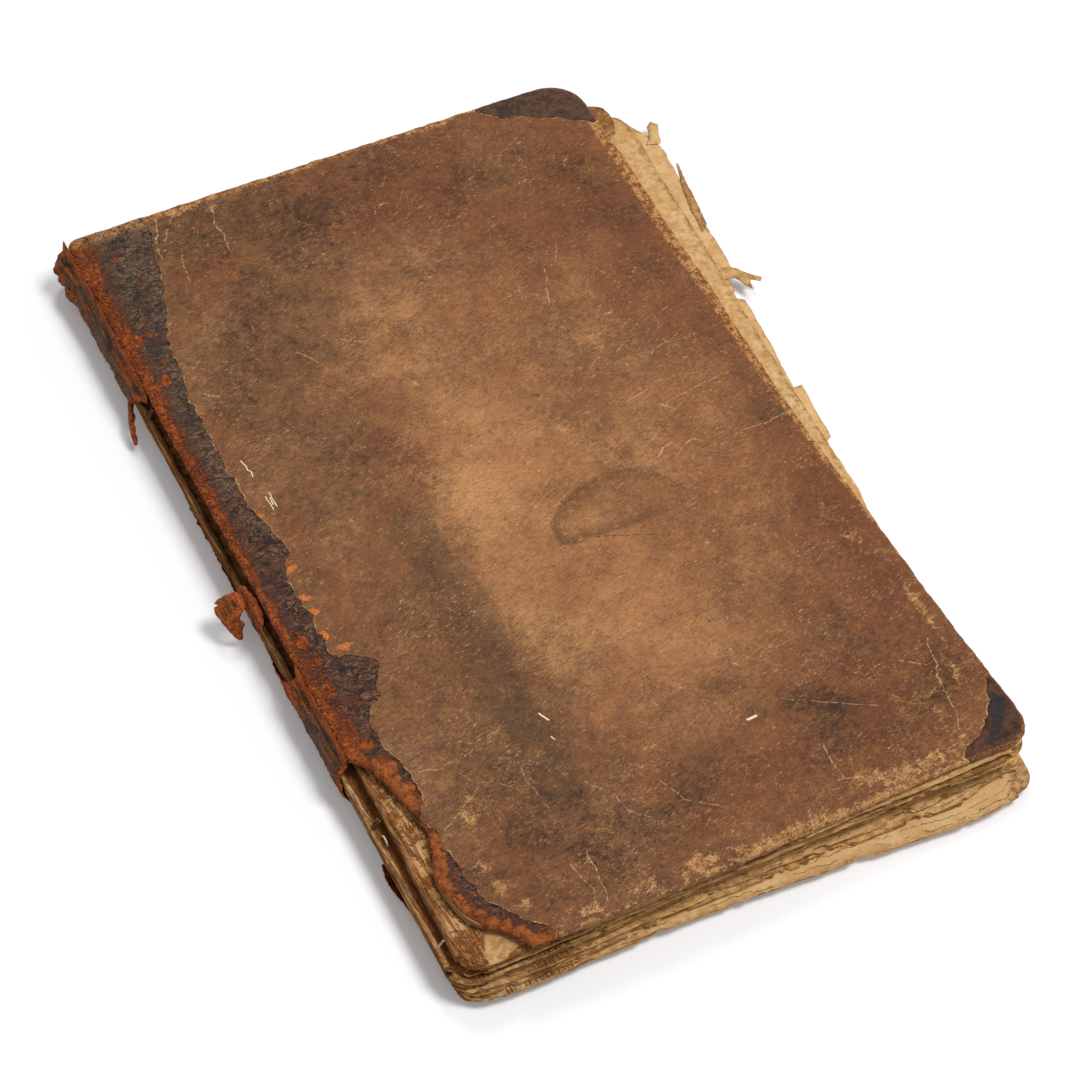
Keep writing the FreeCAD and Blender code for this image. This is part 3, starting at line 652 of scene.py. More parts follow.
TAIL_TAB = ((57, 2.6), (54, 5.6), (47, 6.4), (40, 5.8), (35, 4.0), (32.5, 1.4), (38, 0.8), (45, 0.7), (52, 0.9))
FLAP_ROOT = (-2.4, 162.3, 15.0)
FLAP = ((-1.6, -1.4), (3.6, -2.1), (7.1, -1.2), (9.5, 0.3), (10.7, 1.8), (9.2, 2.3), (10.9, 3.3), (10.1, 5.6), (8.3, 8.0),
        (6.5, 9.8), (4.4, 12.7), (2.7, 14.2), (1.2, 13.6), (1.2, 10.9), (0.3, 8.3), (2.1, 6.8), (1.2, 4.4), (-1.2, 1.6))
STRIP_ROOT = (-3.4, 263.0, 9.4)
HANGING_STRIP = ((0.8, -2.4), (1.1, 1.0), (0.8, 5.0), (0.3, 9.0), (-0.7, 12.5), (-1.7, 15.6), (-2.6, 15.9), (-2.5, 12.6),
                 (-1.9, 11.6), (-2.0, 9.2), (-1.4, 8.2), (-1.6, 5.2), (-1.0, 4.0), (-1.1, 0.6), (-1.0, -2.4))


def two_faced(corners, faces, outer, inner):
    """A closed sheet from its two faces, which share their triangles."""
    count = len(corners)
    walls = []
    for a, b in rim_edges(faces):
        walls += [(b, a, a + count), (b, a + count, b + count)]
    return np.vstack([outer, inner]), np.vstack([faces, faces[:, ::-1] + count, walls])


def torn_loop(corners, depth, seed):
    loop = evenly(corners, PIECE_SPACING)
    return frayed(frayed(loop, depth, 5.0, seed), 0.4 * depth, 1.6, seed + 3)


def ring_edges(loop):
    return [(i, (i + 1) % len(loop)) for i in range(len(loop))]


def spine_sheet(heap, outline, crumple, seed, lobes=()):
    """Leather that follows the rounded spine, cut to an outline given as heights along Y and Z."""
    loop = torn_loop(outline, 0.9, seed)
    corners, faces, _ = triangles(np.vstack([loop, within(loop, PIECE_SPACING, 0.5, int(seed))]), ring_edges(loop))
    y, z = corners[:, 0], corners[:, 1]
    folds = rough(0.2 * y, z, 2.4, seed + 2.0) + 0.4 * rough(0.5 * y, z, 0.9, seed + 4.0)
    out = crumple * (0.6 * rough(y, z, 7.0, seed) + 0.4 * rough(y, z, 1.6, seed + 5) + 0.9 * folds) + 0.4
    for lobe_y, lobe_z, rise, reach in lobes:
        out = out + rise * np.exp(-((y - lobe_y) ** 2 + (z - lobe_z) ** 2) / reach ** 2)
    hold = np.clip((20.6 - z) / 3.0, 0, 1) * np.clip((z - 3.6) / 2.0, 0, 1)
    x = spine_x(np.clip(z, BLOCK_BOTTOM, BLOCK_TOP), -0.12) - np.clip(out, 0, None) * hold
    deep = from_line(corners, loop[::2])
    thick = SPINE_SKIN * np.clip(deep / 0.8, 0.35, 1.0)
    inner = np.column_stack([x, y, z])
    outer = np.column_stack([x - thick, y, z])
    points, faces = two_faced(corners, faces[:, ::-1], outer, inner)
    heap.add(points, faces, deep=np.tile(deep, 2), lower=0.0)


def loose_sheet(heap, root, outline, curl, seed, bared):
    """A free torn tongue, laid out as millimetres left and down in the view, then curled."""
    loop = torn_loop(outline, 0.3, seed)
    corners, faces, _ = triangles(np.vstack([loop, within(loop, 0.6, 0.4, int(seed))]), ring_edges(loop))
    left, down = corners[:, 0], corners[:, 1]
    near = curl(left, down) + 0.35 * rough(left, down, 2.5, seed)
    place = (np.array(root) + left[:, None] * VIEW_LEFT + down[:, None] * VIEW_DOWN + near[:, None] * VIEW_NEAR)
    place[:, 2] = np.maximum(place[:, 2], 0.6)
    back = place - 0.5 * SPINE_SKIN * VIEW_NEAR
    deep = from_line(corners, loop[::2])
    points, faces = two_faced(corners, faces[:, ::-1], place, back)
    heap.add(points, faces, deep=np.tile(deep, 2), lower=bared)


perished = Finish("perished_spine_leather")
deep, lower = perished.mark("deep"), perished.mark("lower")
blotch, mottle = perished.clouds(14.0, 4.0, 0.6), perished.clouds(2.2, 5.0, 0.7)
fine = perished.clouds(0.55, 4.0, 0.7)
streak = perished.clouds(1.3, 4.0, 0.7, at=perished.placed(stretch=(1.0, 0.16, 1.0)))
bare = perished.calc("ADD", perished.calc("MULTIPLY", blotch, 0.5), perished.calc("MULTIPLY", streak, 0.35))
bare = perished.calc("ADD", bare, perished.calc("MULTIPLY", mottle, 0.35))
bare = perished.calc("ADD", bare, perished.step(deep, 0.2, 2.6, 0.17, 0.0))
bare = perished.calc("ADD", bare, perished.calc("MULTIPLY", lower, 0.12))
rust = perished.mix(perished.step(streak, 0.35, 0.65), tint(96, 46, 20), tint(170, 82, 34))
rust = perished.mix(perished.step(fine, 0.52, 0.68), rust, tint(206, 120, 58))
surface_colour = perished.mix(perished.step(streak, 0.35, 0.6), tint(46, 30, 20), tint(108, 72, 46))
surface_colour = perished.mix(perished.step(fine, 0.58, 0.72, 0.0, 0.6), surface_colour, tint(150, 96, 62))
colour = perished.mix(perished.step(bare, 0.57, 0.7), surface_colour, rust)
pits = perished.step(perished.cells(1.2), 0.12, 0.3, 1.0, 0.0)
colour = perished.mix(perished.times(pits, perished.step(mottle, 0.42, 0.55), 0.85), colour, tint(38, 18, 10))
relief = perished.bump(fine, 0.25, perished.bump(streak, 0.5, perished.bump(pits, -0.45)))
perished_leather = perished.done(colour, perished.step(bare, 0.5, 0.66, 0.55, 0.9), relief, specular=0.2)

head_heap, middle_heap, lower_heap, tab_heap = Heap(), Heap(), Heap(), Heap()
spine_sheet(head_heap, HEAD_PIECE, 0.75, 71.0, CAP_LOBES)
loose_sheet(head_heap, STRIP_ROOT, HANGING_STRIP,
            lambda left, down: 0.42 * down + 0.4 * np.sin(down / 3.0) - 0.3 * left ** 2, 73.0, -0.6)
spine_sheet(middle_heap, MIDDLE_PATCH, 0.35, 75.0)
loose_sheet(middle_heap, FLAP_ROOT, FLAP,
            lambda left, down: 1.9 * np.sin(left / 2.6) - 0.07 * (down - 5.0) ** 2 + 0.8, 77.0, 0.5)
spine_sheet(lower_heap, LOWER_PIECE, 0.75, 79.0)
spine_sheet(tab_heap, TAIL_TAB, 0.6, 83.0, ((46.0, 3.6, 1.4, 5.0),))
for heap, node_name in ((head_heap, "spine_leather_head"), (middle_heap, "spine_leather_middle"),
                        (lower_heap, "spine_leather_lower"), (tab_heap, "spine_tail_tab")):
    made = heap.piece(node_name.replace("leather", "torn_leather"), perished_leather, "perished_leather")
    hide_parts(node_name)
    if node_name in ("spine_leather_head", "spine_leather_lower"):
        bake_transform(made)
    else:
        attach(made, "block")

# ---------------------------------------------------------------------------------------
# The covers: pasteboards covered in leather, dark at the spine and on the corners. The
# brown side leather was pasted on last, so its torn edge stands up over the dark strip.
# ---------------------------------------------------------------------------------------
BOARD_WIDTH, BOARD_HEIGHT = 204.0, 334.0
COVER_TOP, COVER_THICKNESS = 21.0, 3.0
SKIN_SPACING = 1.1
TORN_SPACING = 0.7
ROLL = 1.6
TURN_IN = 16.0
BROKEN_TURN_IN = 3.2
SKIN = 0.6
# Where the leather goes from the outside, round the board's edge and back inside it: how far in, how low
WRAP = ((0.75, 0.1), (0.2, 0.5), (0.0, 1.25), (0.12, 2.1), (0.6, 2.75), (1.5, 3.0), (None, 2.9), (None, 2.4),
        (2.6, 2.4), (2.0, 1.5), (2.4, 0.6))

FRONT_BREAK = ((0, 86), (6.0, 79.1), (9.9, 57.6), (12.2, 49.9), (6.4, 36.1), (6.2, 25.8), (11.5, 12.5), (17.3, 8.6))
FRONT_TAIL = ((23, 0), (75.5, -1.8), (124.4, -0.63), (173.4, 0.54))
FRONT_FORE = ((0.14, 0.4), (0.27, 0.65), (0.42, 1.0), (0.545, 0.9), (0.655, 0.4), (0.73, 0.45), (0.85, 0.05))
FORE_WEAR = 3.9
FRONT_TEAR = ((31, 341), (29.5, 322.8), (27.4, 314.8), (25.4, 304), (22.4, 291), (17.8, 281), (14.2, 268),
              (14.4, 258), (12.4, 246), (11.4, 236), (11.9, 205), (11.6, 195), (17.2, 171), (11.8, 163), (11.7, 151),
              (12.2, 133), (12.3, 124), (17.9, 122), (23.7, 118), (24.6, 114), (20, 108), (19.8, 103), (12.9, 99),
              (11.8, 86), (14.6, 78), (16.0, 70), (14.8, 62), (12.2, 56), (13.8, 48), (13.6, 35), (15.4, 25),
              (19.0, 16), (23.6, 10.5), (29, 5), (33, 1), (36, -9))
FRONT_HEAD_CORNER = ((160.5, 341), (162.8, 334.5), (169, 326), (177.5, 322), (191, 315.5), (201, 308.6), (211, 303))
FRONT_TAIL_CORNER = ((171, -8), (180, 5), (187, 7), (197, 17.6), (201, 27), (211, 33))
BACK_TEAR = ((12.3, 342), (12.0, 290), (11.8, 220), (12.2, 150), (11.9, 70), (12.1, -8))
BACK_HEAD_CORNER = ((161, 342), (168, 334), (180, 326), (193, 317), (204, 306), (212, 299))
BACK_TAIL_CORNER = ((170, -8), (177, 0), (186, 9), (196, 19), (204, 29), (212, 35))


def inset(points, depth):
    """Board outlines shrink about the board's middle, so that every layer keeps the same form."""
    scale = np.array((1 - 2 * depth / BOARD_WIDTH, 1 - 2 * depth / BOARD_HEIGHT)).T
    return np.asarray(depth)[..., None] * np.ones(2) + points * scale if np.ndim(depth) else depth + points * scale


def grown(points, depth):
    """The outline point that a point at that depth belongs to."""
    return (points - depth) / np.array((1 - 2 * depth / BOARD_WIDTH, 1 - 2 * depth / BOARD_HEIGHT))


def board_outline(broken):
    """The outline of a cover, anticlockwise from the tail."""
    width, height = BOARD_WIDTH, BOARD_HEIGHT
    fore_tail = rounded((width, 0), (-1, 0), (0, 1), 10.5)
    if not broken:
        return np.vstack([fore_tail, rounded((width, height), (0, -1), (-1, 0), 10.5),
                          rounded((0, height), (1, 0), (0, -1), 5.2), rounded((0, 0), (0, 1), (1, 0), 5.2)])
    fore = [(width - depth * FORE_WEAR, y * height) for y, depth in FRONT_FORE]
    return np.vstack([smooth_line(FRONT_TAIL), fore_tail, smooth_line(fore),
                      rounded((width, height), (0, -1), (-1, 0), 17.0),
                      rounded((0, height), (1, 0), (0, -1), 5.2), smooth_line(FRONT_BREAK)])


def cover_skins(outline, tear, head_corner, tail_corner, relief, seed, mirrored):
    """The four leathers of a cover, cut from one triangulated face and wrapped round the board."""
    loop = frayed(evenly(outline, SKIN_SPACING), 0.35, 6.0, seed)
    rim = inset(loop, ROLL)
    inside = within(rim, SKIN_SPACING, 0.75 * SKIN_SPACING, int(seed))
    lines = [frayed_line(evenly(smooth_line(line, 1), TORN_SPACING, closed=False), seed + step)
             for step, line in enumerate((tear, head_corner, tail_corner))]
    points, edges = [rim], [(i, (i + 1) % len(rim)) for i in range(len(rim))]
    count = len(rim)
    for line in lines:
        points.append(line)
        edges += [(count + i, count + i + 1) for i in range(len(line) - 1)]
        count += len(line)
    for line in lines:
        inside = inside[from_line(inside, line[::2], closed=False) > 0.55 * SKIN_SPACING]
    if not mirrored:
        inside = with_scratches(inside, rim, lines)
    corners, faces, _ = triangles(np.vstack(points + [inside]), edges)
    centres = corners[faces].mean(axis=1)
    far = 60.0
    regions = {
        "spine_strip": np.vstack([lines[0], [(-far, -far), (-far, BOARD_HEIGHT + far)]]),
        "head_corner": np.vstack([lines[1], [(BOARD_WIDTH + far, BOARD_HEIGHT + far)]]),
        "tail_corner": np.vstack([lines[2], [(BOARD_WIDTH + far, -far)]]),
    }
    taken = np.zeros(len(centres), bool)
    cut = {}
    for name, region in regions.items():
        hit = enclosed(centres, region) & ~taken
        taken |= hit
        cut[name] = faces[hit]
    cut["side_leather"] = faces[~taken]
    heaps = {}
    for name, own in cut.items():
        heaps[name] = wrapped_skin(corners, own, rim, loop, lines, relief(name), mirrored)
    return heaps


def scratched_lines():
    """Every scratch, crack and chip as kind, width and line, each wandering a little."""
    made = []
    for number, (kind, width, corners) in enumerate(SCRATCHES):
        line = evenly(corners, 0.6, closed=False)
        reach = min(1.2, 0.04 * np.hypot(*(line[-1] - line[0])) + 0.15)
        wander = reach * rough(line[:, 0], line[:, 1], 7.0, 3.0 * number) + 0.3 * reach * rough(line[:, 0], line[:, 1], 1.6, 9.0)
        made.append((kind, width, line + np.column_stack([wander, -0.9 * wander])))
    return made


def with_scratches(inside, rim, lines):
    """The loose points of the cover's face, made fine along each scratch."""
    fine = []
    for kind, width, line in SCRATCHED:
        run = np.gradient(line, axis=0)
        across = np.column_stack([-run[:, 1], run[:, 0]]) / np.maximum(np.hypot(*run.T), 1e-9)[:, None]
        fine += [line, line + across * 1.2 * width, line - across * 1.2 * width]
        inside = inside[from_line(inside, line[::2], closed=False) > 1.2 * width + 0.35]
    fine = np.vstack(fine)
    fine = fine[enclosed(fine, rim) & (from_line(fine, rim[::2]) > 0.6)]
    for line in lines:
        fine = fine[from_line(fine, line[::2], closed=False) > 0.6]
    return np.vstack([inside, fine])


def frayed_line(line, seed):
    """An open torn line: pushed sideways, at two scales."""
    push = 1.3 * rough(line[:, 0], line[:, 1], 8.0, seed) + 0.8 * rough(line[:, 0], line[:, 1], 2.2, seed + 9)
    along = 0.9 * rough(line[:, 0], line[:, 1], 3.0, seed + 17)
    return line + np.column_stack([push, along])


def wrapped_skin(corners, faces, rim, loop, lines, relief, mirrored):
    """One leather: its outside, its rolled edges and turn-ins, and its inner face."""
    used = np.unique(faces)
    index = np.full(len(corners), -1)
    index[used] = np.arange(len(used))
    flat, faces = corners[used], index[faces]
    from_rim = from_line(flat, rim)
    depth = from_rim + ROLL
    tear = np.min([from_line(flat, line[::2], closed=False) for line in lines], axis=0)
    height = COVER_TOP + relief(flat[:, 0], flat[:, 1], depth, tear)
    heap_points = [np.column_stack([flat, height])]
    heap_depth, heap_tear = [depth], [tear]
    edges = rim_edges(faces)
    border = np.unique(edges)
    place = np.full(len(flat), -1)
    place[border] = np.arange(len(border))
    wraps = from_rim[border] < 0.05
    whole = grown(flat[border], ROLL)
    broken = (whole[:, 0] < 22.5) & (whole[:, 1] < 88) & (not mirrored)
    turn_in = np.where(broken, BROKEN_TURN_IN, TURN_IN)
    wear = 0.28 * rough(whole[:, 0], whole[:, 1], 3.0, 21.0)
    for step, (into, down) in enumerate(WRAP):
        into = turn_in if into is None else into + (wear if step < 5 else 0.0)
        share = (step + 1) / len(WRAP)
        z_wrap = COVER_TOP - down + (height[border] - COVER_TOP) * (1 - share) ** 3
        z_tear = height[border] + share * (COVER_TOP - SKIN - height[border])
        wrapped = inset(whole, np.broadcast_to(into, len(whole)))
        xy = np.where(wraps[:, None], wrapped, flat[border])
        heap_points.append(np.column_stack([xy, np.where(wraps, z_wrap, z_tear)]))
        heap_depth.append(np.where(wraps, np.clip(ROLL - 1.1 * (step + 1), -4, None), depth[border]))
        heap_tear.append(np.where(wraps, tear[border], 0.0))
    rings = [(edges, np.arange(len(flat)))]
    all_faces = [faces]
    low = len(flat)
    edge_places = place[edges]
    previous = edges
    for step in range(len(WRAP)):
        current = edge_places + low + step * len(border)
        a, b, c, d = previous[:, 0], previous[:, 1], current[:, 0], current[:, 1]
        all_faces += [np.column_stack([b, a, c]), np.column_stack([b, c, d])]
        previous = current
    last = heap_points[-1]
    start = low + (len(WRAP) - 1) * len(border)
    inner_loop = last[:, :2]
    fill = within_edges(inner_loop, edge_places, 12.0)
    inner, inner_faces, was = triangles(np.vstack([inner_loop, fill]), edge_places.tolist())
    known = (was >= 0) & (was < len(border))
    fresh = np.cumsum(~known) - 1 + start + len(border)
    names = np.where(known, start + was, fresh)
    extra = inner[~known]
    heap_points.append(np.column_stack([extra, np.full(len(extra), COVER_TOP - SKIN)]))
    heap_depth.append(np.full(len(extra), 9.0))
    heap_tear.append(np.full(len(extra), 9.0))
    all_faces.append(names[inner_faces][:, ::-1])
    points, faces = np.vstack(heap_points), np.vstack(all_faces)
    if mirrored:
        points[:, 2] = COVER_TOP - points[:, 2]
        faces = faces[:, ::-1]
    heap = Heap()
    rim_depth = np.concatenate(heap_depth)
    heap.add(points, faces, rim=rim_depth, tear=np.concatenate(heap_tear), rot=rotten_reach(points, rim_depth),
             brown=np.clip((points[:, 0] - 80.0) / 60.0, 0, 1) * np.where(points[:, 1] < 160.0, 1.0, 0.6),
             smooth_rim=np.clip((88.0 - points[:, 1]) / 12.0, 0, 1) * np.clip((40.0 - points[:, 0]) / 8.0, 0, 1),
             ochre=ochre_reach(points), head_rim=np.clip((points[:, 1] - 327.0) / 4.0, 0, 1) * np.clip((60.0 - points[:, 0]) / 10.0, 0, 1),
             blue=signed(points[:, :2], BLUE_STAIN), **stains(points))
    return heap


def ochre_reach(points):
    """How wide the rubbed ochre band along the cover's edge is: fore edge, then head edge."""
    x, y = points[:, 0], points[:, 1]
    fore = np.where(x > 185, np.interp(y, (90, 130, 170, 230, 290, 312, 324), (0, 2.4, 3.4, 4.6, 4.8, 4.0, 0)), 0.0)
    head = np.where(y > 322, np.interp(x, (26, 40, 64, 150, 166), (3.6, 3.0, 1.9, 1.9, 0)), 0.0)
    return np.maximum(fore, head)


def rotten_reach(points, rim_depth):
    """How far a place is from the edges where the leather has perished: the spine and the break."""
    x, y = points[:, 0], points[:, 1]
    along_break = np.where((x < 40) & (y < 90) & (x + 0.4 * y < 50), rim_depth * 0.95, 99.0)
    near_head = np.where(x < 34, (BOARD_HEIGHT - y) * 1.2 + 1.0 + 0.12 * x, 99.0)
    spine = x * np.interp(y, (86, 110, 140, 200, 290, 320), (0.75, 0.7, 0.95, 1.0, 0.62, 0.5))
    bared = np.zeros(len(points))
    for at_x, at_y, reach_x, reach_y in BARE_SPOTS:
        bared = np.maximum(bared, np.exp(-((x - at_x) / reach_x) ** 2 - ((y - at_y) / reach_y) ** 2))
    return np.minimum(np.minimum(spine, along_break), near_head) - 9.0 * np.clip(bared - 0.25, 0, 1)


def within_edges(loop, edges, spacing):
    """Sparse points inside a closed border whose edges come in no order."""
    a, b = loop[edges[:, 0]], loop[edges[:, 1]]
    rows = []
    for y in np.arange(loop[:, 1].min() + spacing / 2, loop[:, 1].max(), spacing):
        crossed = (a[:, 1] > y) != (b[:, 1] > y)
        p, q = a[crossed], b[crossed]
        cuts = np.sort(p[:, 0] + (y - p[:, 1]) / (q[:, 1] - p[:, 1]) * (q[:, 0] - p[:, 0]))
        for low, high in zip(cuts[::2], cuts[1::2]):
            xs = np.arange(low + spacing / 3, high - spacing / 3, spacing)
            rows.append(np.column_stack([xs, np.full(len(xs), y)]))
    return np.vstack(rows) if rows else np.zeros((0, 2))


BLUE_STAIN = ((199.5, 21.0), (195.8, 16.5), (192.6, 9.4), (188.2, 4.6), (191.6, 2.6), (197.8, 9.6), (202.0, 15.8))
HALF_MOON = ((100.4, 142.8), (107, 149), (114.9, 152.8), (124, 155), (133.3, 154.8), (141, 151), (145.8, 145.5),
             (149, 139), (149.4, 134.2), (143, 131), (136, 130.8), (124, 131), (113.7, 131.9), (104, 132), (99.7, 133.8))
DAMP_STAIN = ((59, 176), (63.3, 162.7), (66, 140), (67.8, 114.3), (66, 100), (63.0, 89.9), (64, 75), (66, 60),
              (63, 48), (58, 40), (51, 42), (49, 52), (52, 66), (50, 80), (46, 96), (48, 118), (52, 140), (51, 160))
RAW_PATCH = ((60, 205), (66, 208), (73, 201), (78, 192), (79, 180), (75, 172), (68, 176), (62, 188), (57, 196))
# Lighter and darker areas of the side leather: place, reach along X and Y, and how much
AREAS = ((98, 128, 45, 62, 0.62), (92, 205, 30, 45, 0.3), (150, 215, 30, 60, 0.2), (118, 82, 28, 26, 0.42),
         (160, 120, 24, 60, 0.1), (58, 276, 18, 40, -0.2), (100, 318, 60, 16, -0.5), (40, 215, 16, 60, -0.15),
         (188, 230, 14, 80, -0.45), (160, 30, 34, 20, -0.6), (95, 22, 60, 16, -0.45), (150, 262, 26, 18, -0.35),
         (192, 100, 10, 60, -0.5), (58, 118, 12, 70, -0.42), (37, 80, 14, 40, -0.18), (40, 30, 20, 24, -0.2),
         (128, 294, 14, 10, -0.35), (172, 70, 18, 26, -0.25), (80, 150, 14, 20, 0.2), (76, 118, 12, 20, 0.22),
         (104, 192, 12, 12, 0.3), (120, 60, 7, 4, -0.5), (118, 91, 5, 3, -0.4), (148, 42, 14, 9, -0.35),
         (112, 298, 6, 5, -0.3), (84, 232, 10, 8, 0.2), (84, 176, 14, 20, 0.5), (106, 168, 14, 9, 0.5), (96, 300, 70, 18, -0.2),
         (176, 280, 22, 20, -0.25), (150, 150, 16, 14, 0.2), (104, 250, 34, 26, 0.34), (176, 166, 20, 34, 0.3), (126, 178, 12, 9, 0.3), (36, 40, 18, 24, -0.15))
# Rubbed bare along the edges, as place, reach along X and Y, and how much
RUBBED = ((44, 3, 6, 3, 0.8), (65, 3.5, 7, 3.0, 0.8), (84, 4, 9, 3.5, 0.95), (96, 2.7, 7, 3, 0.8), (120.6, 2.3, 14, 2.4, 0.8),
          (146.6, 8, 9, 5, 0.75), (156, 5, 10, 5, 0.9), (167, 5.3, 10, 4.5, 0.9), (180, 12, 4, 10, 0.6), (193, 31.4, 3, 6, 0.8),
          (184, 28, 4, 6, 0.5), (25, 50, 4, 7, 0.75), (20.5, 31, 4, 5, 0.75), (23.5, 23, 5, 4, 0.85), (27, 14, 5, 3.5, 0.6),
          (27, 56, 6, 4, 0.5), (196, 60, 2.4, 26, 0.75), (190, 90, 4, 20, 0.5),
          (202.0, 290, 2.4, 30, 0.8), (200.9, 240, 2.6, 30, 0.85), (199.8, 190, 2.0, 34, 0.8), (199.5, 140, 1.8, 40, 0.8),
          (118, 1.2, 74, 2.4, 0.72),
          (80, 332.2, 60, 1.4, 0.85), (140, 332.0, 26, 1.8, 0.85), (45, 331, 10, 2.6, 0.9), (55, 327, 5, 3, 0.55),
          (87, 200, 12, 10, 0.4), (104, 166, 9, 9, 0.46), (128, 178, 11, 9, 0.42), (34, 236, 9, 8, 0.34),
          (113, 150, 12, 3, 0.5), (150, 128, 5, 12, 0.4), (31, 318, 3, 6, 0.6))
# Where the side leather has lifted off in small orange lobes
LOBES = ((13.4, 163.2, 3.4, 1.5), (12.9, 149.6, 2.6, 1.5), (13.6, 143.4, 2.4, 1.7),
         (13.2, 187.5, 3.0, 0.9), (13.0, 133.0, 1.6, 2.2), (17.4, 126.6, 2.6, 1.2))
# Where the old surface crazes into fine cracks
CRAZED = ((34, 58, 22, 26, 0.9), (60, 18, 46, 14, 0.7), (182, 26, 22, 24, 1.0), (192, 66, 10, 26, 0.6),
          (140, 10, 44, 12, 0.8), (100, 12, 40, 10, 0.5), (186, 150, 20, 60, 0.3))
# Bare orange spots in the dark strip: place and reach along X and Y
BARE_SPOTS = ((20.0, 308.0, 2.2, 3.0), (17.2, 302.5, 2.4, 3.0), (13.6, 317.0, 0.9, 8.5), (13.0, 285.5, 2.4, 3.4),
              (11.0, 279.3, 2.6, 3.0), (13.4, 275.0, 2.4, 2.6), (6.2, 278.0, 2.4, 3.0), (10.8, 265.0, 1.9, 3.6),
              (8.6, 257.0, 2.0, 4.6), (16.0, 292.0, 1.5, 3.0), (9.0, 176.0, 5.0, 0.9), (6.0, 134.0, 2.4, 3.0),
              (7.3, 125.0, 2.6, 3.2), (6.0, 112.0, 2.4, 4.0), (4.0, 94.0, 4.2, 5.0), (8.0, 88.0, 3.6, 3.0),
              (11.8, 104.0, 3.0, 3.4), (16.0, 113.0, 1.0, 5.0), (9.6, 77.0, 5.0, 6.0), (13.2, 63.0, 3.4, 7.0))
# The cover's marks, one by one: how they show, their width in millimetres, and their line
SCRATCHES = (
    ("pale", 0.4, ((54.1, 330.6), (53.4, 318.3), (52.5, 304.3))), ("pale", 0.4, ((35.3, 309.6), (33.4, 297.1))),
    ("pale", 0.3, ((45.4, 268.1), (44.7, 264.2))), ("pale", 0.7, ((17.7, 245.7), (20.0, 243.6), (22, 242.7))),
    ("pale", 0.6, ((54.3, 250), (57.1, 246.7), (59.4, 242.5))), ("cream", 0.8, ((122.5, 44.5), (125.4, 44.8))),
    ("pale", 1.0, ((161.2, 220.2), (162.8, 220.0))), ("dark", 0.4, ((161.9, 219.6), (162.3, 219.2))),
    ("pale", 0.6, ((84.5, 222.6), (86.6, 218))), ("cream", 0.5, ((62.9, 75.2), (64.5, 71.8))),
    ("cream", 0.35, ((62.5, 65.4), (62.7, 64.6))), ("cream", 0.28, ((18.9, 194.5), (19, 188.8))),
    ("cream", 0.28, ((19.8, 194.0), (19.8, 190.6))), ("cream", 0.28, ((20.7, 195.1), (20.7, 189.4))),
    ("cream", 0.35, ((17.5, 212.6), (18.1, 209.9), (17.7, 208.4), (18.9, 206.6), (18.4, 204.7))),
    ("pale", 0.3, ((69.2, 249.8), (78.2, 244.1))), ("pale", 0.3, ((162.3, 262.2), (156.6, 250.1))),
    ("pale", 0.4, ((151.6, 248.1), (148.0, 240.0), (145, 232.4))), ("dark", 1.1, ((121.1, 197.0), (122.4, 196.2))),
    ("dark", 0.5, ((185.2, 102.6), (185.6, 102.3))), ("dark", 0.6, ((126.6, 88.4), (127.3, 88.0))),
    ("dark", 0.9, ((107.5, 318.4), (108.5, 318.0))), ("pale", 0.25, ((137.2, 46.5), (149.8, 39.2), (162.6, 31.9))),
    ("pale", 0.4, ((139.1, 25.5), (139, 18.6), (139.3, 12.1))), ("pale", 0.35, ((16.5, 49.1), (24.8, 52.8), (33.3, 58.6))),
    ("pale", 0.25, ((18.8, 71.4), (24.9, 70.5), (32.6, 70.8), (41.8, 74.5), (54.1, 77.6))),
    ("pale", 0.25, ((48.4, 62.3), (47.7, 55.2), (48.6, 47.7), (49.5, 41.1))),
    ("pale", 0.35, ((52.7, 23.2), (51.9, 11.5), (51.2, 3.5))), ("pale", 0.3, ((46.0, 20.0), (48.4, 10.0), (47.0, 4.0))),
    ("orange", 0.2, ((12.6, 175.6), (22.7, 174.7), (33.2, 173.6))),
    ("pale", 0.3, ((178.8, 152.3), (188, 151.0), (199, 153))), ("dark", 0.35, ((112, 132), (120, 129), (131, 124))),
    ("pale", 0.35, ((192, 46.7), (188, 36), (186, 27.3), (184.6, 20), (182.2, 11.7))),
    ("pale", 0.4, ((178.9, 43.9), (185.3, 38.7))),
    ("pale", 0.35, ((137.6, 11.7), (156.8, 6.7), (176.3, 8.1))), ("orange", 0.7, ((198.0, 22.5), (196.6, 17.9))),
    ("pale", 0.3, ((100, 92), (107, 92.5), (111, 95))), ("pale", 0.3, ((150, 180), (163, 184), (176, 183))),
    ("pale", 0.3, ((158, 172), (170, 176), (190, 178))), ("pale", 0.3, ((166, 196), (174, 199), (186, 198))),
    ("pale", 0.28, ((64, 46), (70, 38), (72, 30), (78, 24))), ("pale", 0.28, ((86, 36), (90, 26), (98, 20))),
    ("dark", 0.3, ((100, 76), (101.5, 71.5))), ("dark", 0.4, ((96, 94), (97, 93))), ("dark", 0.5, ((144, 96), (146, 95))),
    ("pale", 0.6, ((159.5, 174.0), (163, 170.5))), ("pale", 0.5, ((147.6, 153.8), (150.4, 156.8), (155.3, 157.4))),
    ("pale", 0.4, ((155.3, 152.4), (161.4, 156.4), (164.1, 154.2))), ("pale", 0.9, ((29.0, 315.4), (28.9, 311.4))),
    ("pale", 0.5, ((34.2, 332.0), (32.6, 326.0), (29.6, 318.6))), ("pale", 0.45, ((40.4, 329.4), (36.0, 324.0), (32.0, 318.0))),
    ("dark", 0.35, ((44, 334), (56, 331.6), (68, 332.4))), ("dark", 0.3, ((50, 329.4), (60, 328.2))),
    ("pale", 0.2, ((29.6, 66), (33, 60), (38.4, 58.2), (44, 52))),
)


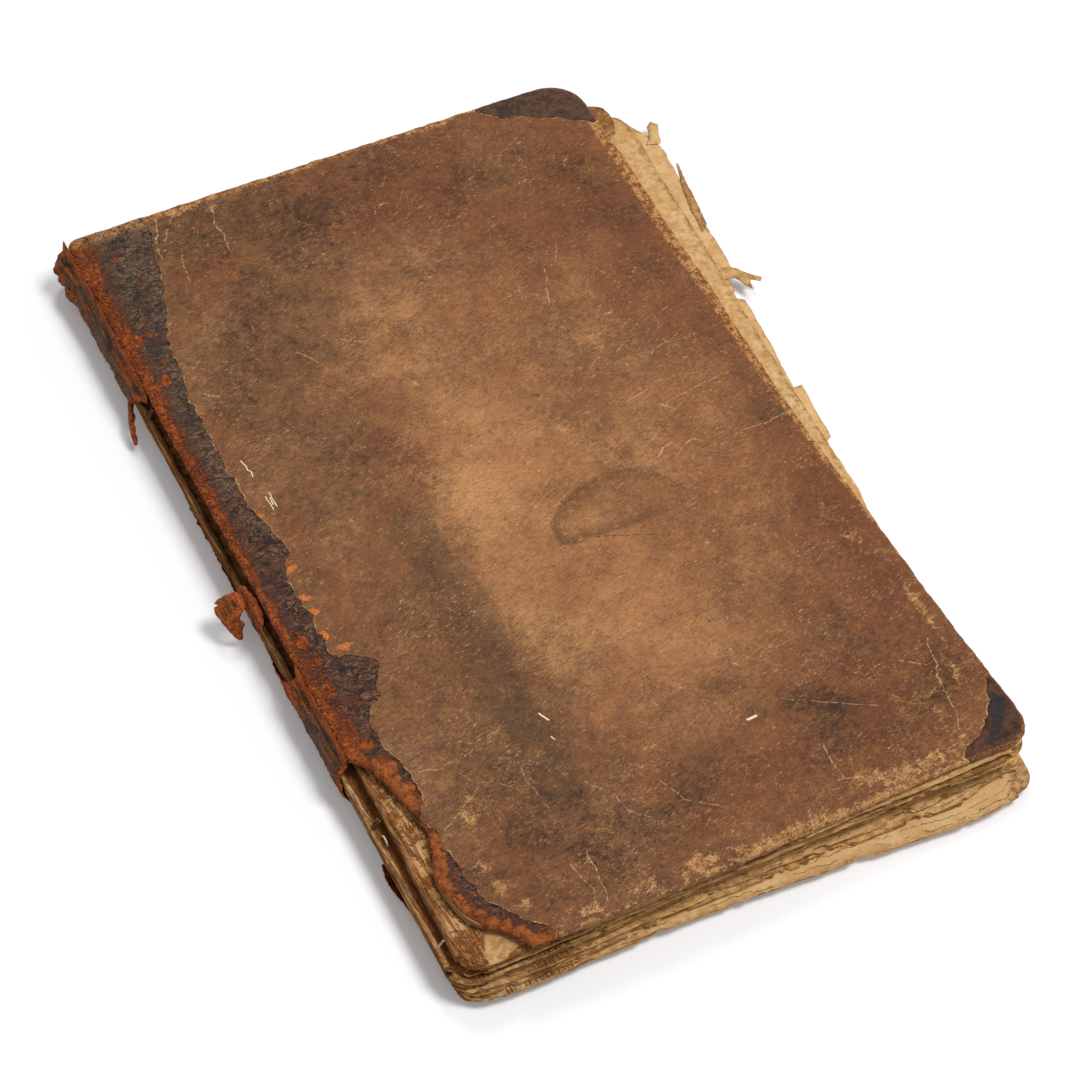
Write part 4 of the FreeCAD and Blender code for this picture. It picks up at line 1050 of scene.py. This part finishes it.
def signed(points, loop):
    """Distance to a closed line, above 0 inside it."""
    off = from_line(points, loop)
    return np.where(enclosed(points, loop), off, -off)


def stains(points):
    """What the leather's colours need to know of a place on the cover."""
    flat = points[:, :2]
    tone = np.zeros(len(flat))
    for x, y, reach_x, reach_y, much in AREAS:
        tone += much * np.exp(-((flat[:, 0] - x) / reach_x) ** 2 - ((flat[:, 1] - y) / reach_y) ** 2)
    rub = np.zeros(len(flat))
    for x, y, reach_x, reach_y, much in RUBBED:
        rub = np.maximum(rub, much * np.exp(-((flat[:, 0] - x) / reach_x) ** 2 - ((flat[:, 1] - y) / reach_y) ** 2))
    crazed, lobe = np.zeros(len(flat)), np.zeros(len(flat))
    for x, y, reach_x, reach_y, much in CRAZED:
        crazed = np.maximum(crazed, much * np.exp(-((flat[:, 0] - x) / reach_x) ** 2 - ((flat[:, 1] - y) / reach_y) ** 2))
    for x, y, reach_x, reach_y in LOBES:
        lobe = np.maximum(lobe, 1.4 - np.hypot((flat[:, 0] - x) / reach_x, (flat[:, 1] - y) / reach_y))
    found = {kind: np.zeros(len(flat)) for kind in ("pale", "cream", "dark", "orange")}
    for kind, width, line in SCRATCHED:
        near = np.flatnonzero((np.abs(flat - line.mean(axis=0)) < np.ptp(line, axis=0) / 2 + 2.0).all(axis=1))
        shown = np.clip(1.0 - from_line(flat[near], line, closed=False) / (1.2 * width), 0, 1)
        found[kind][near] = np.maximum(found[kind][near], shown)
    return {"tone": tone, "moon": signed(flat, HALF_MOON), "damp": signed(flat, DAMP_STAIN),
            "raw": signed(flat, RAW_PATCH), "rub": rub, "crazed": crazed, "lobe": np.clip(lobe, 0, 1), **found}


SCRATCHED = scratched_lines()


def front_relief(name):
    """How far each leather stands above or below the cover's plane."""
    def relief(x, y, depth, tear):
        inner = np.clip((depth - ROLL) / 3.0, 0, 1)
        swell = 0.16 * rough(x, y, 45.0, 2.0, 2) + 0.05 * rough(x, y, 9.0, 3.0)
        if name == "side_leather":
            lip = 0.25 * np.exp(-(tear / 1.1) ** 2) * (x < 80)
            folds = 0.1 * rough(0.35 * x + 0.94 * y, 0.25 * (0.94 * x - 0.35 * y), 5.0, 8.0) * np.clip((x - 110) / 60, 0, 1)
            return (swell + lip + folds) * inner
        if name == "spine_strip":
            rot = np.clip(1 - (x - 1.5) / 6.5, 0, 1) * (y > 86)
            grains = (0.4 * rough(x, y, 2.6, 5.0) + 0.3 * rough(x, 0.5 * y, 1.2, 15.0)) * rot
            ridge = 1 - 2 * np.abs(rough(0.3 * x + 0.15 * y, y, 4.6, 6.0))
            wrinkles = 0.42 * np.clip(ridge, -0.5, 1) * np.clip(1 - rot, 0.15, 1) * np.clip((y - 60) / 30, 0.2, 1)
            broken_rim = np.exp(-((depth - 2.9) / 1.9) ** 2) * np.clip((27 - x) / 5, 0, 1) * np.clip((84 - y) / 10, 0, 1)
            return (swell - 0.1 + grains + wrinkles) * np.clip(inner + 0.35 * rot, 0, 1) + 1.15 * broken_rim
        return (swell + 0.12 * rough(x, y, 4.0, 7.0)) * inner
    return relief


def back_relief(name):
    def relief(x, y, depth, tear):
        return 0.12 * np.clip((depth - ROLL) / 3.0, 0, 1) * (rough(x, y, 30.0, 12.0) - 1.2)
    return relief


BROWN = tint(114, 78, 51)
BROWN_TAN = tint(196, 142, 92)
BROWN_DARK = tint(58, 38, 25)
BROWN_WARM = tint(130, 76, 45)
WORN_TAN = tint(184, 134, 82)
WORN_PALE = tint(214, 174, 124)
WORN_BUFF = tint(202, 156, 102)
WORN_CREAM = tint(238, 218, 178)
RUST = tint(168, 84, 38)
RUST_LIGHT = tint(208, 132, 70)
RUBBED_TAN = tint(144, 96, 54)
OLIVE = tint(80, 60, 40)
INK_DARK = tint(46, 33, 25)


def centred(finish, value, reach):
    """A pattern moved from 0..1 to -reach/2..reach/2."""
    return finish.calc("MULTIPLY", finish.calc("SUBTRACT", value, 0.5), reach)


def added(finish, *values):
    total = values[0]
    for value in values[1:]:
        total = finish.calc("ADD", total, value)
    return total


side = Finish("brown_side_leather")
rim_depth, torn, tone, crazed = side.mark("rim"), side.mark("tear"), side.mark("tone"), side.mark("crazed")
blotch, mottle, patchy = side.clouds(24.0, 5.0, 0.6), side.clouds(6.0, 5.0, 0.66), side.clouds(2.0, 4.0, 0.68)
fibre = side.clouds(0.9, 4.0, 0.75, at=side.placed(stretch=(0.42, 1.0, 1.0), degrees=-14))
grain = side.clouds(0.55, 3.0, 0.7)
warmth = side.clouds(34.0, 4.0, 0.6, at=side.placed(shift=(0.3, 0.1, 0.0)))
light = added(side, tone, centred(side, blotch, 1.4), centred(side, mottle, 1.3), centred(side, patchy, 0.9),
              centred(side, fibre, 1.5), centred(side, grain, 1.3))
colour = side.mix(side.step(light, -0.2, 1.5), BROWN, BROWN_TAN)
colour = side.mix(side.step(light, 0.05, -0.95), colour, BROWN_DARK)
east = side.step(side.node("SeparateXYZ", {0: side.here}).outputs[0], -0.05, 0.07)
redder = added(side, warmth, centred(side, patchy, 0.5), side.times(east, 0.14))
colour = side.mix(side.times(side.step(redder, 0.38, 0.72), 0.5), colour, BROWN_WARM)
damp_edge = added(side, side.mark("damp"), centred(side, blotch, 16.0), centred(side, mottle, 9.0))
colour = side.mix(side.times(side.step(damp_edge, -1.5, 2.0), 0.38), colour, OLIVE)
colour = side.mix(side.times(side.step(damp_edge, -0.5, 0.3), side.step(damp_edge, 1.8, 0.4), 0.22), colour, tint(54, 46, 28))
moon_edge = added(side, side.mark("moon"), centred(side, mottle, 2.4), centred(side, patchy, 1.0))
moon = side.step(moon_edge, -0.8, 0.9)
west = side.step(side.node("SeparateXYZ", {0: side.here}).outputs[0], 0.045, 0.0)
colour = side.mix(side.times(moon, side.calc("MULTIPLY_ADD", side.step(moon_edge, 8.0, 0.5), 0.26, 0.16)), colour, tint(84, 56, 32))
colour = side.mix(side.times(moon, west, side.step(moon_edge, 5.0, 0.3), 0.36), colour, tint(70, 48, 28))
raw_edge = added(side, side.mark("raw"), centred(side, mottle, 15.0), centred(side, patchy, 5.0))
colour = side.mix(side.times(side.step(raw_edge, 0.0, 1.6), side.step(patchy, 0.4, 0.6), 0.55), colour, tint(76, 36, 26))
dark_grain = side.step(added(side, grain, centred(side, fibre, 0.6)), 0.46, 0.3)
colour = side.mix(side.times(dark_grain, 0.45), colour, BROWN_DARK)
flecks = None
for degrees, length, low in ((-14, 0.16, 0.6), (38, 0.2, 0.64), (84, 0.2, 0.65), (-52, 0.22, 0.65)):
    hair = side.clouds(0.42, 3.0, 0.6, at=side.placed(stretch=(length, 1.0, 1.0), degrees=degrees, shift=(0.01 * degrees, 0, 0)))
    hair = side.step(hair, low, low + 0.08)
    flecks = hair if flecks is None else side.either(flecks, hair)
fleck_where = side.step(added(side, side.clouds(15.0, 4.0, 0.6), centred(side, patchy, 0.5), side.times(tone, 0.1),
                              side.times(east, 0.04)), 0.4, 0.66, 0.26, 0.95)
colour = side.mix(side.times(flecks, fleck_where), colour, side.mix(side.step(patchy, 0.45, 0.65), WORN_TAN, WORN_PALE))
wander = side.node("VectorMath", {0: side.node("TexNoise", {"Vector": side.here, "Scale": 210.0, "Detail": 4.0}).outputs[1],
                                  1: (0.011, 0.011, 0.0)}, operation="MULTIPLY").outputs[0]
bent = side.node("VectorMath", {0: side.here, 1: wander}, operation="ADD").outputs[0]
crack = side.either(side.step(side.cells(8.0, "DISTANCE_TO_EDGE", at=bent), 0.0, 0.04, 1.0, 0.0),
                    side.times(side.step(side.cells(3.0, "DISTANCE_TO_EDGE", at=bent), 0.0, 0.07, 1.0, 0.0),
                               side.step(mottle, 0.5, 0.62)))
crack = side.times(crack, side.step(added(side, crazed, centred(side, mottle, 1.6)), 0.3, 0.75), side.step(grain, 0.35, 0.6))
colour = side.mix(side.times(crack, 0.75), colour, WORN_TAN)
rub = added(side, side.mark("rub"), centred(side, mottle, 1.3), centred(side, patchy, 1.3), centred(side, fibre, 1.1),
            centred(side, grain, 0.9), side.step(rim_depth, 0.2, 1.9, 0.4, 0.0))
rubbed_colour = side.mix(side.step(added(side, grain, centred(side, patchy, 0.9)), 0.38, 0.72), RUBBED_TAN, WORN_BUFF)
colour = side.mix(side.step(rub, 0.48, 0.86, 0.0, 0.9), colour, rubbed_colour)
band = added(side, rim_depth, centred(side, mottle, 3.0), centred(side, patchy, 2.2), side.times(side.mark("ochre"), -1.0))
band_colour = side.mix(side.step(added(side, patchy, centred(side, grain, 0.8)), 0.4, 0.64), tint(112, 66, 34), tint(196, 142, 86))
colour = side.mix(side.times(side.step(band, 0.5, -0.3), side.step(side.mark("ochre"), 0.2, 1.0), 0.92), colour, band_colour)
lip = added(side, torn, centred(side, patchy, 1.5), centred(side, mottle, 1.2))
lipped = side.times(side.step(lip, 0.1, 0.6, 1.0, 0.0), side.step(added(side, blotch, centred(side, mottle, 0.9)), 0.42, 0.6, 0.12, 1.0))
colour = side.mix(lipped, colour, side.mix(side.step(grain, 0.4, 0.6), WORN_TAN, WORN_PALE))
lobe = side.step(added(side, side.mark("lobe"), centred(side, patchy, 2.2)), 0.35, 0.5)
colour = side.mix(lobe, colour, side.mix(side.step(grain, 0.4, 0.65), RUST, RUST_LIGHT))
broken_up = side.step(added(side, grain, centred(side, patchy, 1.2)), 0.38, 0.62, 0.06, 1.0)
for kind, shade, strength in (("pale", WORN_PALE, 0.65), ("cream", WORN_CREAM, 1.0), ("dark", tint(34, 24, 18), 0.9),
                              ("orange", RUST_LIGHT, 0.7)):
    share = side.step(side.mark(kind), 0.3, 0.85, 0.0, strength)
    colour = side.mix(share if kind == "cream" else side.times(share, broken_up), colour, shade)
pebble = side.cells(0.7, "SMOOTH_F1")
relief = side.bump(pebble, 0.12, side.bump(fibre, 0.16, side.bump(mottle, 0.35, side.bump(crack, 0.15))))
side_leather = side.done(colour, side.step(mottle, 0.3, 0.7, 0.6, 0.8), relief, specular=0.16)

dark = Finish("dark_polished_leather")
rim_depth, torn, brown = dark.mark("rim"), dark.mark("tear"), dark.mark("brown")
blotch, mottle, fine = dark.clouds(12.0, 4.0, 0.6), dark.clouds(2.8, 5.0, 0.68), dark.clouds(0.6, 4.0, 0.7)
wrinkle = dark.clouds(1.9, 4.0, 0.68, at=dark.placed(stretch=(0.4, 1.0, 1.0), degrees=8), warp=1.2)
south = dark.step(added(dark, dark.node("SeparateXYZ", {0: dark.here}).outputs[1], centred(dark, blotch, 0.12)), 0.09, -0.01)
colour = dark.mix(dark.step(added(dark, mottle, centred(dark, blotch, 0.8)), 0.32, 0.75), INK_DARK, tint(106, 82, 60))
maroon = dark.mix(dark.step(mottle, 0.35, 0.7), tint(46, 24, 17), tint(102, 58, 38))
colour = dark.mix(dark.times(south, 0.85), colour, maroon)
# Painted highlight and shade on the wrinkles: paler on their raised ridges, near black in their hollows.
colour = dark.mix(dark.step(wrinkle, 0.58, 0.72, 0.0, 0.45), colour, tint(142, 108, 82))
colour = dark.mix(dark.step(wrinkle, 0.44, 0.3, 0.0, 0.6), colour, tint(26, 18, 14))
shaken = dark.node("TexNoise", {"Vector": dark.here, "Scale": 260.0, "Detail": 3.0}).outputs[1]
shaken = dark.node("VectorMath", {0: shaken, 1: (0.006, 0.006, 0.0)}, operation="MULTIPLY").outputs[0]
shaken = dark.node("VectorMath", {0: dark.placed(stretch=(0.42, 1.0, 1.0), degrees=8), 1: shaken}, operation="ADD").outputs[0]
crease = dark.cells(3.4, "DISTANCE_TO_EDGE", at=shaken)
creased = dark.times(dark.step(blotch, 0.36, 0.52, 0.25, 1.0), dark.step(brown, 0.0, 0.6, 1.0, 0.35))
# Painted shade: near black along the creases.
colour = dark.mix(dark.times(creased, dark.step(crease, 0.0, 0.06, 1.0, 0.0), 0.7), colour, tint(24, 15, 12))
# Painted highlight: pale glints along the edges of the creases.
painted_glint = dark.times(dark.step(crease, 0.05, 0.11), dark.step(crease, 0.24, 0.12), dark.step(fine, 0.4, 0.6), creased)
colour = dark.mix(dark.times(painted_glint, 0.5), colour, tint(172, 134, 106))
warm = dark.mix(dark.step(mottle, 0.35, 0.65), tint(52, 32, 22), tint(98, 60, 38))
colour = dark.mix(dark.times(brown, dark.step(blotch, 0.36, 0.52)), colour, warm)
rot = added(dark, dark.mark("rot"), centred(dark, mottle, -9.0), centred(dark, blotch, -7.0), centred(dark, fine, -3.0))
colour = dark.mix(dark.step(rot, 2.6, 7.0, 0.75, 0.0), colour, tint(84, 42, 24))
rotten = dark.step(rot, 2.2, 3.4, 1.0, 0.0)
flakes = dark.step(added(dark, mottle, dark.times(blotch, 0.35), centred(dark, fine, 0.3)), 0.81, 0.87)
crumbly = dark.clouds(1.6, 5.0, 0.75)
rust_colour = dark.mix(dark.step(crumbly, 0.34, 0.56), tint(82, 36, 14), RUST)
rust_colour = dark.mix(dark.step(added(dark, crumbly, centred(dark, fine, 0.6)), 0.54, 0.76), rust_colour, RUST_LIGHT)
rust_colour = dark.mix(dark.step(mottle, 0.47, 0.33, 0.0, 0.75), rust_colour, tint(72, 34, 16))
browner = dark.step(added(dark, dark.clouds(9.0, 3.0, 0.6), centred(dark, mottle, 0.5)), 0.46, 0.6)
rust_colour = dark.mix(dark.times(browner, 0.7), rust_colour, dark.mix(dark.step(fine, 0.4, 0.65), tint(62, 30, 18), tint(138, 74, 40)))
pits = dark.step(dark.cells(1.5), 0.06, 0.3, 1.0, 0.0)
rust_colour = dark.mix(dark.times(pits, dark.step(crumbly, 0.58, 0.42), 0.9), rust_colour, tint(46, 20, 10))
smooth_rim = dark.mark("smooth_rim")
rim_colour = dark.mix(dark.step(mottle, 0.34, 0.66), tint(112, 56, 26), tint(182, 102, 50))
rim_colour = dark.mix(dark.times(dark.step(blotch, 0.5, 0.36), 0.7), rim_colour, tint(78, 44, 24))
rim_colour = dark.mix(dark.times(pits, dark.step(blotch, 0.5, 0.6), 0.7), rim_colour, tint(58, 30, 16))
rust_colour = dark.mix(smooth_rim, rust_colour, rim_colour)
colour = dark.mix(dark.either(rotten, dark.times(flakes, 0.85)), colour, rust_colour)
chafed = dark.times(dark.step(added(dark, rim_depth, centred(dark, mottle, 3.0)), 0.4, 1.2, 1.0, 0.0), brown, 0.8)
colour = dark.mix(chafed, colour, dark.mix(dark.step(fine, 0.4, 0.6), tint(70, 38, 24), tint(164, 104, 58)))
blue_stain = dark.step(added(dark, dark.mark("blue"), centred(dark, mottle, 3.0)), -0.3, 0.6)
colour = dark.mix(dark.times(blue_stain, 0.75), colour, tint(28, 31, 36))
head_rim = dark.times(dark.mark("head_rim"), dark.step(added(dark, mottle, centred(dark, fine, 0.6)), 0.42, 0.56))
colour = dark.mix(dark.times(head_rim, 0.9), colour, dark.mix(dark.step(fine, 0.4, 0.62), tint(150, 92, 46), tint(208, 156, 96)))
glaze = dark.step(dark.either(rotten, flakes), 0.2, 0.8, 0.42, 0.88)
relief = dark.bump(dark.calc("MULTIPLY", rotten, crumbly), 0.9, dark.bump(wrinkle, 0.6, dark.bump(fine, 0.2)))
relief = dark.bump(dark.times(creased, dark.step(crease, 0.0, 0.2)), 0.35, dark.bump(dark.either(rotten, flakes), -0.3, relief))
dark_leather = dark.done(colour, glaze, relief, specular=0.2)


def board_paper(name, light_colour, dark_colour, size):
    """Pasted paper or pasteboard: mottled, browned towards its edges, a little rough."""
    board = Finish(name)
    cloud, fleck = board.clouds(size, 5.0, 0.6), board.clouds(0.7, 4.0, 0.7)
    shade = board.mix(board.step(cloud, 0.3, 0.7), light_colour, dark_colour)
    shade = board.mix(board.step(fleck, 0.55, 0.75, 0.0, 0.5), shade, PAPER_BROWN)
    x, y, _ = board.node("SeparateXYZ", {0: board.here}).outputs
    out = board.either(board.step(board.calc("ABSOLUTE", x), 0.076, 0.098), board.step(board.calc("ABSOLUTE", y), 0.135, 0.165))
    shade = board.mix(board.times(out, board.step(cloud, 0.35, 0.6), 0.6), shade, PAPER_TAN)
    return board.done(shade, 0.9, board.bump(fleck, 0.15, board.bump(cloud, 0.2)), specular=0.15)


PASTEBOARD_FINISH = board_paper("grey_brown_pasteboard", tint(150, 118, 78), tint(118, 86, 54), 12.0)
PASTEDOWN_FINISH = board_paper("pasted_down_leaf", PAPER_PALE, PAPER_CREAM, 24.0)
for node_name, pasted in (("front_board", PASTEBOARD_FINISH), ("back_board", PASTEBOARD_FINISH),
                          ("front_pastedown", PASTEDOWN_FINISH), ("back_pastedown", PASTEDOWN_FINISH)):
    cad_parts[node_name].data.materials.clear()
    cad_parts[node_name].data.materials.append(pasted)

cover_finishes = {"spine_strip": (dark_leather, "dark_leather"), "head_corner": (dark_leather, "dark_leather"),
                  "tail_corner": (dark_leather, "dark_leather"), "side_leather": (side_leather, "side_leather")}
cover_sides = (
    ("front", board_outline(True), (FRONT_TEAR, FRONT_HEAD_CORNER, FRONT_TAIL_CORNER), front_relief, 31.0),
    ("back", board_outline(False), (BACK_TEAR, BACK_HEAD_CORNER, BACK_TAIL_CORNER), back_relief, 61.0),
)
for cover_name, outline, cuts, relief_of, seed in cover_sides:
    mirrored = cover_name == "back"
    for name, heap in cover_skins(outline, *cuts, relief_of, seed, mirrored).items():
        finish, slot_name = cover_finishes[name]
        made = heap.piece(f"{cover_name}_{name}_skin", finish, slot_name)
        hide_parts(f"{cover_name}_{name}")
        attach(made, f"{cover_name}_cover")

# ---------------------------------------------------------------------------------------
# Crumbs of perished leather. Along the spine and round the break the front cover's leather
# has gone to red powder, and grains of it cling to the edge.
# ---------------------------------------------------------------------------------------
# The lines that the crumbs lie along, on top of the cover
CRUMB_LINES = (
    ((0.9, 331), (0.7, 290), (0.6, 240), (0.7, 190), (0.7, 178)), ((0.8, 139), (0.9, 90)),
    ((2.2, 329), (1.9, 285), (1.8, 235), (2.0, 178)), ((2.3, 139), (2.6, 92)),
    ((3.9, 320), (3.2, 275), (3.0, 220), (3.6, 178)), ((4.4, 139), (4.8, 120), (4.4, 90)),
    ((5.4, 300), (4.6, 262)), ((5.4, 139), (6.6, 118), (6.0, 94)),
    ((2.4, 84.5), (7.6, 77.5), (10.9, 62), (12.6, 52.5), (9.6, 41), (7.6, 30), (9.6, 20), (14.6, 12.4), (19.6, 9.6)),
)
CRUMB_LEVEL = 20.95
crumb_tree = bpy.data.node_groups.new("leather_crumbs", "GeometryNodeTree")
crumb_tree.interface.new_socket("Line", in_out="INPUT", socket_type="NodeSocketGeometry")
crumb_sizes = {}
for size_name, millimetres in (("Spacing", 0.55), ("Spread", 1.15), ("Smallest", 0.12), ("Largest", 0.42)):
    socket = crumb_tree.interface.new_socket(size_name, in_out="INPUT", socket_type="NodeSocketFloat")
    crumb_sizes[socket.identifier] = millimetres * MM
crumb_tree.interface.new_socket("Crumbs", in_out="OUTPUT", socket_type="NodeSocketGeometry")


def crumb_node(kind, inputs, **settings):
    made = crumb_tree.nodes.new(kind)
    for name, value in settings.items():
        setattr(made, name, value)
    for key, value in inputs.items():
        if isinstance(value, bpy.types.NodeSocket):
            crumb_tree.links.new(value, made.inputs[key])
        else:
            made.inputs[key].default_value = value
    return made


given = crumb_node("NodeGroupInput", {}).outputs
line_curve = crumb_node("GeometryNodeMeshToCurve", {"Mesh": given["Line"]}).outputs[0]
spots = crumb_node("GeometryNodeResampleCurve", {"Curve": line_curve, "Length": given["Spacing"]}, mode="LENGTH").outputs[0]
strewn = crumb_node("FunctionNodeRandomValue", {0: (-1.0, -1.0, -0.2), 1: (1.0, 1.0, 0.35), 8: 3}, data_type="FLOAT_VECTOR")
strewn = crumb_node("ShaderNodeVectorMath", {0: strewn.outputs[0], "Scale": given["Spread"]}, operation="SCALE").outputs[0]
spots = crumb_node("GeometryNodeSetPosition", {"Geometry": spots, "Offset": strewn}).outputs[0]
grain_mesh = crumb_node("GeometryNodeMeshIcoSphere", {"Radius": 1.0, "Subdivisions": 1}).outputs[0]
grain_turn = crumb_node("FunctionNodeRandomValue", {0: (0.0, 0.0, 0.0), 1: (6.3, 6.3, 6.3), 8: 5}, data_type="FLOAT_VECTOR").outputs[0]
grain_size = crumb_node("FunctionNodeRandomValue", {2: given["Smallest"], 3: given["Largest"], 8: 7}, data_type="FLOAT").outputs[1]
grains = crumb_node("GeometryNodeInstanceOnPoints", {"Points": spots, "Instance": grain_mesh, "Rotation": grain_turn,
                                                     "Scale": grain_size}).outputs[0]
grains = crumb_node("GeometryNodeRealizeInstances", {"Geometry": grains}).outputs[0]
lumpy = crumb_node("ShaderNodeTexNoise", {"Scale": 1 / (0.5 * MM), "Detail": 2.0}).outputs[1]
lumpy = crumb_node("ShaderNodeVectorMath", {0: lumpy, 1: (0.5, 0.5, 0.5)}, operation="SUBTRACT").outputs[0]
lumpy = crumb_node("ShaderNodeVectorMath", {0: lumpy, "Scale": given["Largest"]}, operation="SCALE").outputs[0]
grains = crumb_node("GeometryNodeSetPosition", {"Geometry": grains, "Offset": lumpy}).outputs[0]
grains = crumb_node("GeometryNodeSetMaterial", {"Geometry": grains, "Material": perished_leather}).outputs[0]
crumb_node("NodeGroupOutput", {"Crumbs": grains})

crumb_points, crumb_edges = [], []
for corners in CRUMB_LINES:
    line = evenly(corners, 3.0, closed=False)
    crumb_edges += [(len(crumb_points) + i, len(crumb_points) + i + 1) for i in range(len(line) - 1)]
    crumb_points += [(x, y, CRUMB_LEVEL) for x, y in line]
crumb_line_mesh = bpy.data.meshes.new("crumb_line")
crumb_line_mesh.from_pydata(((np.array(crumb_points) + BOOK_CORNER) * MM).tolist(), crumb_edges, [])
crumb_line = bpy.data.objects.new("crumb_line", crumb_line_mesh)
bpy.context.scene.collection.objects.link(crumb_line)
strew = crumb_line.modifiers.new("strew", "NODES")
strew.node_group = crumb_tree
for identifier, value in crumb_sizes.items():
    strew[identifier] = value
strewn_line = crumb_line.evaluated_get(bpy.context.evaluated_depsgraph_get())
crumb_mesh = bpy.data.meshes.new_from_object(strewn_line)
crumb_line.modifiers.remove(strew)
bpy.data.objects.remove(crumb_line)
crumbs = bpy.data.objects.new("perished_leather_crumbs", crumb_mesh)
bpy.context.scene.collection.objects.link(crumbs)
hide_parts("front_spine_strip")
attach(crumbs, "front_cover")
